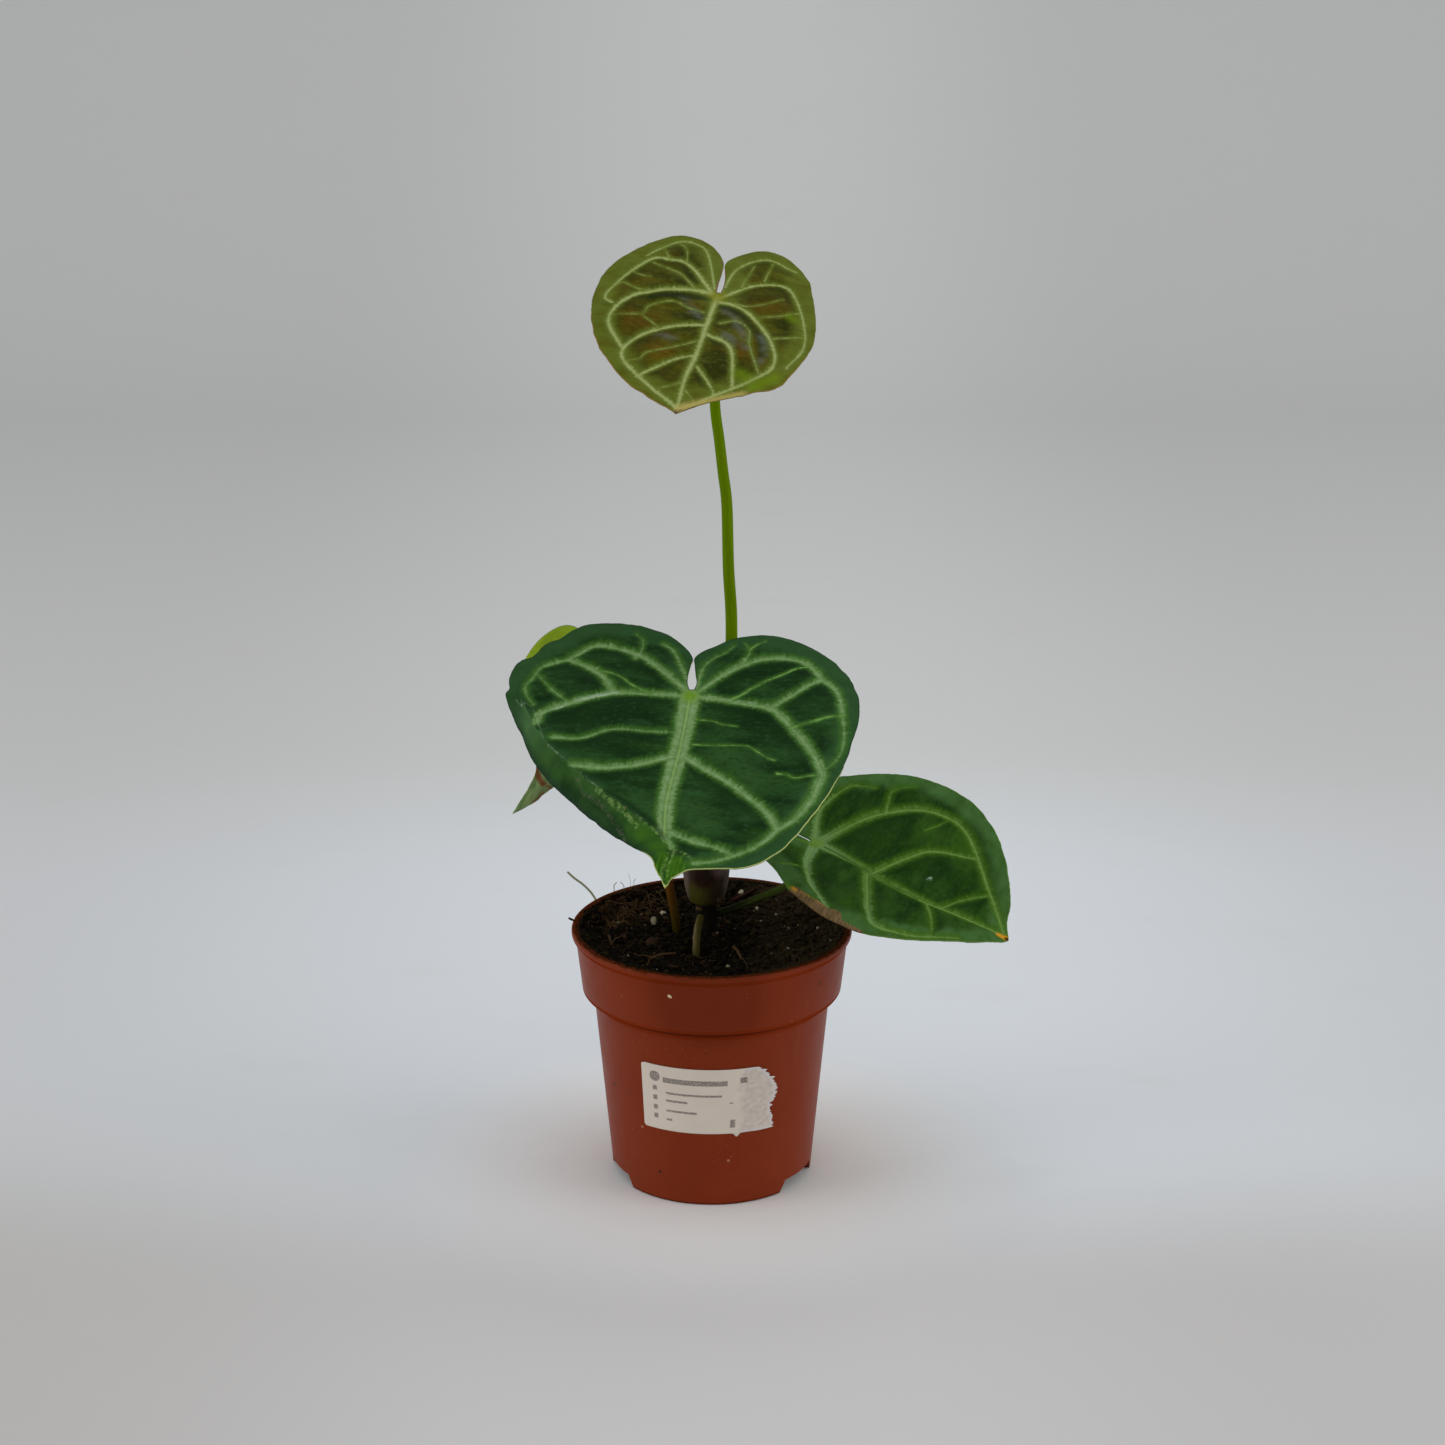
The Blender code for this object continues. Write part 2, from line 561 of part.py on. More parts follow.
def leaf_height(leaf, flat, edge, vein):
    """How far the blade's upper face stands above its plane, in mm, at flat (u, v) points.

    edge is each point's distance to the outline, and vein the depth of the valley at the veins, 0 to 1.
    """
    u, v = flat[:, 0], flat[:, 1]
    height = leaf["keel"] * (np.sqrt(u * u + KEEL_ROUND ** 2) - KEEL_ROUND)
    height += leaf["side_bow"] * u * u
    height += np.where(v > 0, leaf["bow"], leaf["back_bow"]) * v * v
    tip_start, tip_bend = leaf["tip"]
    height += tip_bend * np.maximum(0, v - tip_start) ** 2
    bearing = np.degrees(np.arctan2(u, v))
    outer = np.clip(np.hypot(u, v) / CALM_RADIUS - 1, 0, 1)
    for middle, spread, width, drop in leaf["curls"]:
        off = np.clip(np.abs((bearing - middle + 180) % 360 - 180) / spread, 0, 1)
        share = 0.5 + 0.5 * np.cos(np.pi * off)
        height += drop * share * outer * np.clip(1 - edge / width, 0, 1) ** 1.5
    calm = np.clip(np.hypot(u, v) / CALM_RADIUS, 0, 1)
    height += RIPPLE_HEIGHT * calm * ripple(flat, leaf["ripple"])
    return height - VEIN_DIP * calm * vein


def triangulate(outline, inside):
    """Triangles of the outline and the points inside it, all counter-clockwise."""
    flat = [Vector(p) for p in np.vstack([outline, inside])]
    ring = list(range(len(outline)))
    points, _, faces, _, _, _ = geometry.delaunay_2d_cdt(flat, [], [ring], 1, 1e-5)
    used = sorted({i for face in faces for i in face})
    order = {old: new for new, old in enumerate(used)}
    flat = np.array([points[i][:] for i in used])
    faces = [[order[i] for i in face] for face in faces]
    turned_round = []
    for a, b, c in faces:
        side, other = flat[b] - flat[a], flat[c] - flat[a]
        area = side[0] * other[1] - side[1] * other[0]
        turned_round.append((a, b, c) if area > 0 else (a, c, b))
    return flat, turned_round


def inside_outline(points, outline):
    """Which points lie inside a closed outline."""
    ends = np.roll(outline, -1, axis=0)
    found = np.zeros(len(points), bool)
    for (x0, y0), (x1, y1) in zip(outline, ends):
        crosses = (y0 > points[:, 1]) != (y1 > points[:, 1])
        at = x0 + (points[:, 1] - y0) * (x1 - x0) / (y1 - y0 if y1 != y0 else 1e-9)
        found ^= crosses & (points[:, 0] < at)
    return found


def clear_of_edge(points, outline):
    """The points inside a closed outline that aren't right at its edge."""
    points = points[inside_outline(points, outline)]
    return points[distance_to_path(points, np.vstack([outline, outline[:1]])) > EDGE_SPACING]


def add_spaced(kept, candidates, spacing):
    """The kept points, with each candidate that is clear of them by the spacing."""
    for point in candidates:
        if np.min(np.linalg.norm(kept - point, axis=1)) >= spacing:
            kept = np.vstack([kept, point])
    return kept


def hex_grid(outline, step):
    low, high = outline.min(axis=0), outline.max(axis=0)
    rows = np.arange(low[1], high[1], step * math.sqrt(3) / 2)
    columns = np.arange(low[0], high[0], step)
    return np.array([(u + step / 2 * (k % 2), v) for k, v in enumerate(rows) for u in columns])


def leaf_points(leaf):
    """The outline, and points inside it along each vein, to both sides of it and between the veins."""
    outline = leaf_outline(leaf, OUTLINE_STEP)
    paths = [smooth_path(points, VEIN_STEP) for _, points in leaf["veins"]]
    kept = outline
    for path in paths:
        kept = add_spaced(kept, path, VEIN_SPACING)
    for path in paths:
        heading = np.gradient(path, axis=0)
        heading /= np.linalg.norm(heading, axis=1)[:, None]
        normal = np.stack([-heading[:, 1], heading[:, 0]], -1)
        for side in (1, -1):
            kept = add_spaced(kept, path + side * RIB_HALF_WIDTH * normal, RIB_SPACING)
    kept = add_spaced(kept, hex_grid(outline, FILL_STEP), FILL_SPACING)
    return outline, clear_of_edge(kept[len(outline):], outline)


def make_blade(key, leaf, parts):
    outline, inside = leaf_points(leaf)
    flat, faces = triangulate(outline, inside)
    edge = distance_to_path(flat, np.vstack([outline, outline[:1]]))
    rib = np.zeros(len(flat))
    for half_width, points in leaf["veins"]:
        distance = distance_to_path(flat, smooth_path(points, 2.0))
        rib = np.maximum(rib, min(1, 0.5 + half_width / 5) * np.exp(-(distance / 1.5) ** 2))
    rib *= np.clip(edge / 4, 0, 1)
    height = leaf_height(leaf, flat, edge, rib)
    across, along, outward = leaf_axes(leaf)
    points = np.array(leaf["attach"]) + np.outer(flat[:, 0], across) + np.outer(flat[:, 1], along)
    points += np.outer(height, outward)
    # u, v and the upper face make a left-handed set, so the triangles are turned over.
    faces = [(a, c, b) for a, b, c in faces]
    name = "leaf_" + key
    blade = add_object(name, mesh_from(name, points * MM, faces), name, parts)
    ribs = blade.vertex_groups.new(name="ribs")
    for index, weight in enumerate(rib):
        ribs.add([index], float(weight), "REPLACE")
    solid = add_thickness(blade, RIB_THICKNESS)
    solid.vertex_group = ribs.name
    solid.thickness_vertex_group = BLADE_THICKNESS / RIB_THICKNESS
    return blade


def make_stalk(key, leaf, parts):
    points, foot_radius, top_radius = STALKS[key]
    _, _, outward = leaf_axes(leaf)
    end = np.array(leaf["attach"]) - outward * (RIB_THICKNESS + GAP) / MM
    lead = end - outward * STALK_LEAD
    path = smooth_path([*points, lead, end], STALK_STEP)
    radii = np.linspace(foot_radius, top_radius, len(path))
    return make_tube("petiole_" + key, path, radii, "stalk", parts)


def make_root(parts):
    path = smooth_path(ROOT, ROOT_STEP)
    return make_tube("aerial_root", path, [ROOT_RADIUS] * len(path), "aerial_root", parts)


def main():
    clear_scene()
    parts = collection("potted_silver_blush_anthurium")
    cutters = collection("cutters")
    make_pot(parts, cutters)
    make_label(parts)
    make_soil(parts, cutters)
    make_stem(parts)
    make_sheath(parts)
    make_root(parts)
    for key, leaf in LEAVES.items():
        make_blade(key, leaf, parts)
        make_stalk(key, leaf, parts)


main()
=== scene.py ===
"""Looks of the potted anthurium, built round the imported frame.

Leaf outlines and veins are in millimetres on the blade: u across it, v from the stalk to the tip. Other
places are in millimetres too, in the frame's own axes, unless a name says otherwise.
"""

import math
import random
from functools import reduce

import bmesh
import bpy
import numpy as np
from mathutils import Euler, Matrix, Vector, geometry, noise


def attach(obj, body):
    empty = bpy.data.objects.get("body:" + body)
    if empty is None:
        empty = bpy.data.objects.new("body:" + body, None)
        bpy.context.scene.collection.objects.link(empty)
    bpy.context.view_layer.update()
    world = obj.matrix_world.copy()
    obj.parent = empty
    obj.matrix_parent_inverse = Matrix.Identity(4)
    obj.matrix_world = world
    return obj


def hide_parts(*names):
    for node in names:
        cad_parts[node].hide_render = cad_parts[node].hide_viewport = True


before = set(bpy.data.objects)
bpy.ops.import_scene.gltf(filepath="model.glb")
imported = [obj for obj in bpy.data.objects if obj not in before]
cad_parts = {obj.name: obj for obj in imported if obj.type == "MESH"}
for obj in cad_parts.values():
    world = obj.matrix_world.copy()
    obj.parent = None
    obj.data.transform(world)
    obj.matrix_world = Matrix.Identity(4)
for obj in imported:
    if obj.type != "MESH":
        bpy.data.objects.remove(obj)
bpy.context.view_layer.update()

MM = 0.001
SEED = 7

# Camera: the photograph's frame is square, and its centre looks down by the pitch
CAMERA_PLACE = (0.0046, -1.199, 0.581)
CAMERA_PITCH = 17.55
CAMERA_LENS = 74.74
SENSOR = 36.0
# How far the floor lies under the pot's foot, in metres
STAGE_DROP = 0.0002

# The share of a white surface's brightness that a level one shows under these lights
LIGHT_ON_PLANT = 0.74

# Pot
POT_HEIGHT = 110.7
RIM_RADIUS = 60.0
LIP_HEIGHT = 2.4
BAND_TOP_RADIUS = 58.2
BAND_FOOT_RADIUS = 55.7
BAND_FOOT_Z = 82.2
SHELF_HEIGHT = 2.6
BODY_TOP_RADIUS = 50.8
BASE_RADIUS = 43.2
WALL = 1.2
BAND_WALL = 1.6
# Millimetres that the band's outside and inside widen for each one of height
BAND_SLOPE = 0.085
INSIDE_SLOPE = 0.0855
FLOOR_Z = 3.5
FOOT_WIDTH = 2.2
PAD_RADIUS = 9.0
POT_SIDES = 180
EDGE_RADIUS = 0.7
NOTCH_ANGLES = (-70, 61, 177)
NOTCH_WIDTH = 30.0
NOTCH_TOP_SHARE = 0.74
NOTCH_DEPTH = 9.6
NOTCH_HEIGHT = 5.5
DRAIN_COUNT = 6
DRAIN_RADIUS = 3.5
DRAIN_CIRCLE = 28.0
DRAIN_START = math.radians(20)

# Specks on the pot: angle from the front in degrees, height, radius, colour
POT_SPECKS = (
    (-17.6, 101, 0.6, (196, 180, 150)), (-17.0, 100.6, 0.5, (190, 172, 140)), (-61, 47, 0.8, (60, 30, 20)),
    (-29.7, 13.5, 0.7, (62, 30, 18)), (52, 98.5, 0.7, (64, 34, 24)), (9, 21.5, 0.5, (150, 100, 80)),
    (-39.6, 33, 0.5, (150, 96, 76)),
)

# Label: angles in degrees from the front, heights in mm
LABEL_GAP = 0.25
LABEL_THICKNESS = 0.22
LABEL_LEFT = -36.6
LABEL_FOOT_Z = 34.8
LABEL_TOP_Z = 65.3
# How far a loose flake hangs below the label's foot
LABEL_FLAKE = 1.8
# Where its straight upper and lower edges end at the torn side, and the spacing of its points
LABEL_FOOT_RIGHT = 33
LABEL_TOP_RIGHT = 22.8
LABEL_STEP = 0.8
# Plain grey bars on the label: middle, half width, height, half height, in mm on the sheet
LABEL_BARS = (
    (-7.0, 13.6, 58.8, 1.2), (-7.6, 11.9, 52.8, 0.5), (-14.8, 4.7, 49.2, 0.5), (-12.9, 6.7, 44.4, 0.5),
    (-18.3, 1.3, 40.2, 0.5), (-24.5, 1.0, 54.4, 1.1), (-24.5, 1.0, 49.8, 1.1), (-24.5, 1.0, 45.3, 1.1),
    (-24.5, 1.0, 41.1, 1.1), (13.4, 1.5, 59.8, 1.3), (9.0, 1.1, 39.5, 1.9), (8.4, 0.8, 49.4, 0.3),
)
LABEL_DOT = (-24.3, 59.9, 2.4)
LABEL_TORN_EDGE = ((33.7, 35), (33.1, 37.6), (31, 45.1), (33.3, 49.1), (34.1, 53.6), (29.7, 60.6),
                   (23.5, 65.3))

# Soil
SOIL_Z = 105.0
SOIL_LUMP = 1.3
SOIL_CLEARANCE = 0.5
SOIL_STEP = 0.8
FINE_CRUMBS = 3600
COARSE_CRUMBS = 420
RIM_CRUMBS = 1100
LOOSE_CHIPS = 34
LOOSE_PERLITE = 34
LOOSE_FIBRES = 44
# The heap at the back left: its bearings in degrees, and the crumbs and fibres on it
HEAP_BEARINGS = (116, 172)
HEAP_CRUMBS = 260
HEAP_FIBRES = 110
# A scrap that lies on the rim: (x, y, z, length, width, height, turn)
RIM_SCRAP = (-60.2, 5, 111.4, 3.4, 1.5, 1.3, 0.1)
# Bark chips and grains of perlite in plain sight: (x, y, length, width)
BARK_CHIPS = ((-25.4, -10.7, 6.2, 5.0), (-29.4, 40.0, 6.0, 2.6), (-38.4, 30.0, 5.0, 3.0))
PERLITE = (
    (-21.4, 25.6, 3.4, 2.8), (-25.2, 17.3, 5.6, 2.8), (13.0, 49.0, 3.6, 3.0), (19.8, 34.1, 2.6, 1.6),
    (28.0, 26.2, 2.2, 1.7), (21.7, 16.1, 3.6, 1.5), (6.9, -34.2, 2.2, 1.9), (32.3, -17.5, 2.0, 1.6),
    (45.8, 9.0, 2.0, 1.7), (-40.7, 14.0, 1.8, 1.5), (-30.0, 44.0, 3.0, 1.8), (33.4, 12.5, 1.8, 1.4),
)
# Thin twigs on the soil: start, end, radius
TWIGS = (
    ((-26.8, -24.3), (-15.1, -18.6), 0.55), ((9.1, -11.8), (12.8, -25.4), 0.6),
    ((-43.3, 14.9), (-41.5, -11.8), 0.5), ((-36, 2), (-43, -8), 0.3), ((12.8, -25.4), (15, -38), 0.35),
    ((-29, -36), (-24, -20), 0.35), ((-20, -24), (-33, -20), 0.35),
)
STICK = ((9, 41, 106.5), (14, 45, 107.5), (18.5, 48, 109))
STICK_RADII = (0.9, 0.5)

# Stem and sheath
STEM_AXIS = (-2.4, 5.0)
STEM_PROFILE = ((5.2, 96), (5.3, 104), (4.9, 110), (4.6, 115), (4.7, 118), (5.0, 120.5), (6.0, 126))
SHEATH_PROFILE = ((5.6, 119.6), (7.2, 121), (8.5, 124.5), (9.4, 130), (9.8, 137), (9.6, 143))
SHEATH_THICKNESS = 0.45
SHEATH_SIDES = 96
# Old leaf scars below the sheath: (x, y, z, length, width, height, turn)
CROWN_SCARS = (
    (2.9, -1.0, 122.6, 2.4, 1.8, 2.6, 0.4), (-5.4, 1.0, 117.8, 3.4, 2.0, 2.6, -0.6),
    (5.0, 2.4, 121.6, 1.8, 1.3, 1.3, 0.8),
)

# Leaf blades
BLADE_THICKNESS = 0.5
RIB_THICKNESS = 1.6
VEIN_DIP = 0.7
RIPPLE_HEIGHT = 0.7
KEEL_ROUND = 6.0
CALM_RADIUS = 20.0
OUTLINE_STEP = 0.9
VEIN_STEP = 1.3
FILL_STEP = 1.0
BLADE_SLOTS = {"main": "leaf_dark", "right": "leaf_dark", "top": "leaf_young", "back": "leaf_back"}

# A vein is (half width of its pale band at the start and at the end, points). A curl is (bearing from
# the tip, half its spread, width, drop).
LEAVES = {
    "main": {
        "attach": (-8.6, -25.0, 220.9), "azimuth": -9, "pitch": 27, "roll": 0, "keel": 0.04, "bow": -0.0005,
        "back_bow": -0.0008, "side_bow": -0.0004, "tip": (88, -0.012),
        "curls": ((-46, 64, 12, -13), (90, 60, 14, -2)), "ripple": 1,
        "left": ((-1, -4), (-2.3, -8), (-2.8, -13), (-2.6, -19), (-2.5, -23.5), (-7, -30), (-17, -38),
                 (-31, -42), (-46, -42.5), (-54.8, -38.5), (-59.5, -32.5), (-65.5, -27), (-69.5, -19.5),
                 (-73, -17.3), (-75.8, -15), (-77.4, -7), (-76.6, -2), (-77.4, 0.5), (-75.8, 5.3),
                 (-69, 18), (-59, 34), (-43, 50), (-25, 68), (-13, 78), (-5, 83), (-1, 90), (4, 99)),
        "right": ((1, -4), (1.5, -8), (0.3, -13), (-1, -19), (-1.7, -23.5), (1.3, -28.5), (6, -32),
                  (12, -36), (23, -39), (37, -37), (48, -32), (59, -22), (66, -12), (70, 2), (69, 20),
                  (66, 40), (59, 60), (50, 77), (44, 84), (35, 90), (24, 91), (14, 92), (8, 95), (4, 99)),
        "veins": (
            (4.6, 3.4, ((0, 0), (0, 31), (-1, 57), (0.5, 75))),
            (1.4, 0.5, ((0.5, 75), (4.7, 82), (3.5, 88), (2.7, 92), (3.8, 98))),
            (1.7, 2.1, ((-2, 0), (-16, -0.6), (-31, 0), (-47, 7), (-58.6, 13), (-60.8, 19))),
            (2.0, 1.6, ((-1, -2), (-12, -13), (-24, -22.5), (-36, -27), (-45, -27.5), (-50, -22.5),
                 (-54, -18))),
            (1.4, 0.5, ((-54, -18), (-61, -15), (-65, -12), (-67, -6), (-69.3, -1.5), (-67.6, 4),
                 (-64, 9))),
            (1.3, 0.7, ((-1, -4), (-5, -15), (-11, -27), (-16, -31))),
            (2.1, 1.5, ((-32, 0), (-38, -9), (-45, -14), (-54, -18))),
            (1.8, 2.2, ((2, 0), (14, 1.2), (24, 3), (33, 5), (38, 8.5), (45, 17), (52, 26), (57, 35),
                 (59, 41), (58, 47))),
            (2.1, 1.5, ((58, 47), (56.5, 54), (52, 63), (45, 70))),
            (1.6, 1.1, ((45, 70), (40, 76.5), (33, 82.5), (22, 87.5), (14, 89))),
            (1.8, 1.8, ((3, -3), (12, -13.5), (21, -21), (32, -25), (42, -24.5), (48, -20), (53, -13))),
            (1.7, 0.5, ((53, -13), (58, -9), (61, -4), (63, 4), (65, 15), (65.5, 24), (64, 31),
                 (60.5, 37))),
            (1.5, 1.5, ((34, 5), (46, -7), (53, -13))),
            (2.0, 1.8, ((3, 34), (15, 42), (26, 49.6), (36, 58.2), (41.5, 64.5), (44.5, 70))),
            (1.9, 1.1, ((2, 73), (13, 78), (22, 81), (29, 84))),
            (1.0, 0.2, ((-26, -21), (-24.5, -27), (-25, -33), (-28, -36))),
            (1.2, 0.3, ((2, -5), (2.6, -16.9), (4.1, -20.9), (7, -25.2), (10.4, -27.9), (13.6, -31.8))),
            (1.2, 0.6, ((18.7, -21.5), (20.7, -26.3), (20.5, -31.1))),
            (0.9, 0.3, ((-50, 7), (-58, 0), (-66, -9))),
            (0.7, 1.2, ((-3, 20), (-17, 21), (-30, 22), (-41, 27), (-53, 27))),
            (2.2, 1.8, ((-2, 34), (-14, 39), (-27, 42), (-42, 42))),
        ),
        "thin": (
            (0.5, ((-17, -1), (-24, -4.5), (-31, -9.5), (-40, -12.5))), (0.5, ((20.5, -30), (18.1, -33))),
            (0.6, ((20.7, -29.5), (23.5, -32.5), (26.7, -34.7))),
            (0.25, ((4, 13), (11.2, 13.7), (15, 15.9), (21.9, 17))),
            (0.3, ((5, 27.6), (9.7, 27.4), (18.3, 27.6), (24.7, 27.3), (28.5, 27.9), (35.2, 33.1),
                 (39.5, 34.7))),
            (0.6, ((41.3, 41.5), (45.4, 41.9), (49, 43.7), (54, 42.3), (58, 41.3))),
            (0.7, ((43, 16), (50, 13.3), (53.3, 12), (59.1, 9.1), (64.5, 6.3))),
            (0.7, ((15.5, 1.5), (21.8, -2.6), (27.7, -8.8), (33.4, -12.9), (41.1, -17.6), (46, -20.5))),
        ),
    },
    "top": {
        "attach": (2.5, 10.0, 379.4), "azimuth": -16, "pitch": 30, "roll": -12, "keel": 0.0, "bow": -0.0008,
        "back_bow": -0.001, "side_bow": -0.0006, "tip": (60, -0.01), "curls": ((-75, 70, 12, -2.5),),
        "ripple": 2,
        "left": ((-0.9, -2.5), (-1.4, -8), (-1.5, -13), (-1.95, -19), (-3.2, -22.5), (-6, -27),
                 (-11.5, -31.7), (-22, -34), (-31, -29), (-42, -17), (-48, -4), (-49, 9), (-46, 25),
                 (-39, 39), (-27, 53), (-15, 61), (0, 67)),
        "right": ((0.8, -2.5), (0.9, -7), (0.3, -12), (-0.9, -16.5), (-1.6, -19), (-1.2, -22.5),
                  (1.2, -26.5), (4.7, -30), (10, -33.3), (17, -34), (25, -31), (33, -22), (38, -9), (42, 4),
                  (43, 18), (39, 33), (35, 43), (27, 48), (14, 56), (5, 63), (0, 67)),
        "veins": (
            (1.5, 1.1, ((0, 0), (0, 34), (-1, 48), (0, 66))),
            (1.4, 1.1, ((-2, -1), (-10, -1), (-19, 1), (-27, 5), (-34, 10), (-39, 24), (-30, 38))),
            (1.2, 0.8, ((-3, -2), (-16, -16), (-24, -17), (-32, -15), (-41, 1), (-44, 11), (-40, 15))),
            (0.8, 0.6, ((-2, -4), (-10, -25), (-16, -30), (-24, -29), (-34, -17))),
            (1.1, 1.2, ((-1, 18), (-14, 22), (-26, 33), (-28, 44), (-14, 56), (-1, 64))),
            (0.7, 1.1, ((-1, 35), (-9, 41), (-19, 52))),
            (1.2, 0.9, ((2, 3), (8, 3), (16, 7), (27, 19), (30, 34), (13, 53), (1, 65))),
            (1.0, 0.7, ((1, 1), (13, -12), (25, -15), (34, -3), (40, 16), (36, 31))),
            (0.8, 0.6, ((1, -3), (4, -20), (14, -29), (27, -26))),
            (1.2, 1.0, ((2, 23), (12, 27), (18, 47))),
            (0.4, 0.4, ((5, 15), (11, 12), (17, 15), (19, 23), (26, 37))),
            (0.9, 0.7, ((2, 41), (10, 50), (12, 54))),
        ),
        "thin": (
            (0.45, ((-17, -17), (-19, -25), (-23, -28))), (0.45, ((-24, -17), (-29, -24))),
            (0.5, ((-10, -2), (-17, -8), (-24, -11), (-30, -13))),
            (0.4, ((-29, 5), (-34, 4), (-39, 2), (-42, 4))), (0.4, ((-29, -4), (-34, -4), (-37, -6))),
            (0.6, ((-2, 51), (-5, 54), (-10, 57))),
            (0.4, ((-3, 11), (-10, 10), (-16, 8), (-25, 13), (-27, 19), (-39, 23))),
            (0.4, ((-18, 24), (-27, 19))), (0.4, ((-2, 28), (-10, 34), (-19, 40), (-21, 44), (-26, 46))),
            (0.5, ((19, 7), (28, 3), (34, -1))), (0.5, ((27, 17), (39, 12))), (0.45, ((8, -9), (10, -23))),
            (0.45, ((16, -16), (17, -27))), (0.5, ((1, 55), (5, 59))),
            (0.4, ((8, 2), (13, 2), (19, -1), (26, -6))),
        ),
    },
    "right": {
        "attach": (44.5, 0.0, 148.1), "azimuth": 69, "pitch": 17, "roll": 11, "keel": 0.21, "bow": -0.0005,
        "back_bow": -0.0006, "side_bow": -0.0003, "tip": (80, -0.01), "curls": ((-62, 46, 7, -3),),
        "ripple": 3,
        "left": ((-0.5, -3), (0.3, -9), (-0.8, -14), (-6, -24), (-16, -29), (-26, -23), (-34, -8), (-46, 6),
                 (-52, 20), (-53, 30), (-50, 43), (-45, 54), (-33, 67), (-20, 79), (-8, 88), (-1, 91)),
        "right": ((0.6, -3), (1.4, -9), (2.4, -14), (6, -23), (14, -29), (25, -28), (35, -18), (43, -7),
                  (52, 4), (60, 19), (63, 34), (60, 49), (51, 62), (38, 73), (20, 83), (7, 87), (-1, 91)),
        "veins": (
            (3.0, 1.7, ((0, 0), (-2, 20), (-5, 38), (-6, 49), (-3, 76), (-1, 89))),
            (2.5, 1.4, ((2, 1), (25, 11), (42, 27), (47, 45), (39, 57), (26, 68), (1, 88))),
            (2.1, 0.6, ((3, -2), (20, -7), (38, -3), (43, 3), (45, 8))),
            (2.7, 1.1, ((-3, 0), (-19, 3), (-33, 10), (-44, 19), (-49, 25))),
            (2.1, 1.3, ((-4, 27), (5, 31), (17, 38), (24, 44), (32, 61))),
            (2.5, 1.3, ((-5, 26), (-22, 32), (-37, 38), (-44, 44), (-38, 58), (-22, 74))),
            (1.2, 0.8, ((-5, 60), (5, 65), (16, 74))),
            (1.4, 0.4, ((-6, 54), (-15, 59), (-28, 64), (-33, 64))),
            (1.2, 0.3, ((34, 18), (41, 16), (46, 15), (51, 18), (55, 23))),
        ),
        "thin": (
            (0.9, ((-2, 0), (-2, -4), (-4, -12))), (0.8, ((-25, 4), (-27, -1), (-30, -5))),
            (0.4, ((33, 37), (45, 43))),
        ),
    },
    "back": {
        "attach": (-55.5, 54.0, 203.0), "azimuth": -126, "pitch": 67, "roll": 38, "keel": 0.08,
        "bow": 0.0003, "back_bow": 0.0, "side_bow": 0.0, "tip": (50, 0.002), "curls": (), "ripple": 4,
        "left": ((-1, -3), (-1.5, -10), (-5, -17), (-12, -20), (-20, -18), (-27, -11), (-30, 0), (-28, 10),
                 (-25, 21), (-19, 33), (-13, 43), (-8, 51), (-4, 56), (-0.5, 61), (2, 66), (6, 71),
                 (10, 76)),
        "right": ((1, -3), (1.5, -12), (5, -22), (12, -26.5), (19, -25.5), (26, -17), (29, -5), (27, 6),
                  (22, 20), (16, 33), (10, 43), (7, 51), (8, 60), (9.5, 69), (10, 76)),
        "veins": (
            (1.6, 0.9, ((0, 0), (0, 35), (2, 52), (9, 74))),
            (1.2, 0.8, ((-2, 0), (-14, 4), (-22, 13), (-18, 28), (-9, 42))),
            (1.2, 0.8, ((2, 0), (14, 4), (22, 12), (16, 28), (8, 43))),
            (1.2, 0.7, ((-2, -3), (-11, -11), (-22, -5))), (1.2, 0.7, ((2, -3), (10, -15), (22, -9))),
            (1.0, 0.7, ((-1, 22), (-11, 31))), (1.0, 0.7, ((1, 22), (10, 31))),
        ),
        "thin": ((0.5, ((-8, 2), (-12, 12), (-10, 22))), (0.5, ((8, 2), (12, 12), (10, 22)))),
    },
}

# The sharp fold along the main leaf's left side, where its outer strip bends down
FOLD = ((-62, 20), (-53.3, 31.2), (-48.7, 36.3), (-43.2, 41.8), (-35, 49), (-28.8, 54), (-22.7, 58.5),
        (-16.2, 63), (-10.2, 67.8), (-5.7, 71.6), (-1.1, 75.3), (4.2, 81.6))

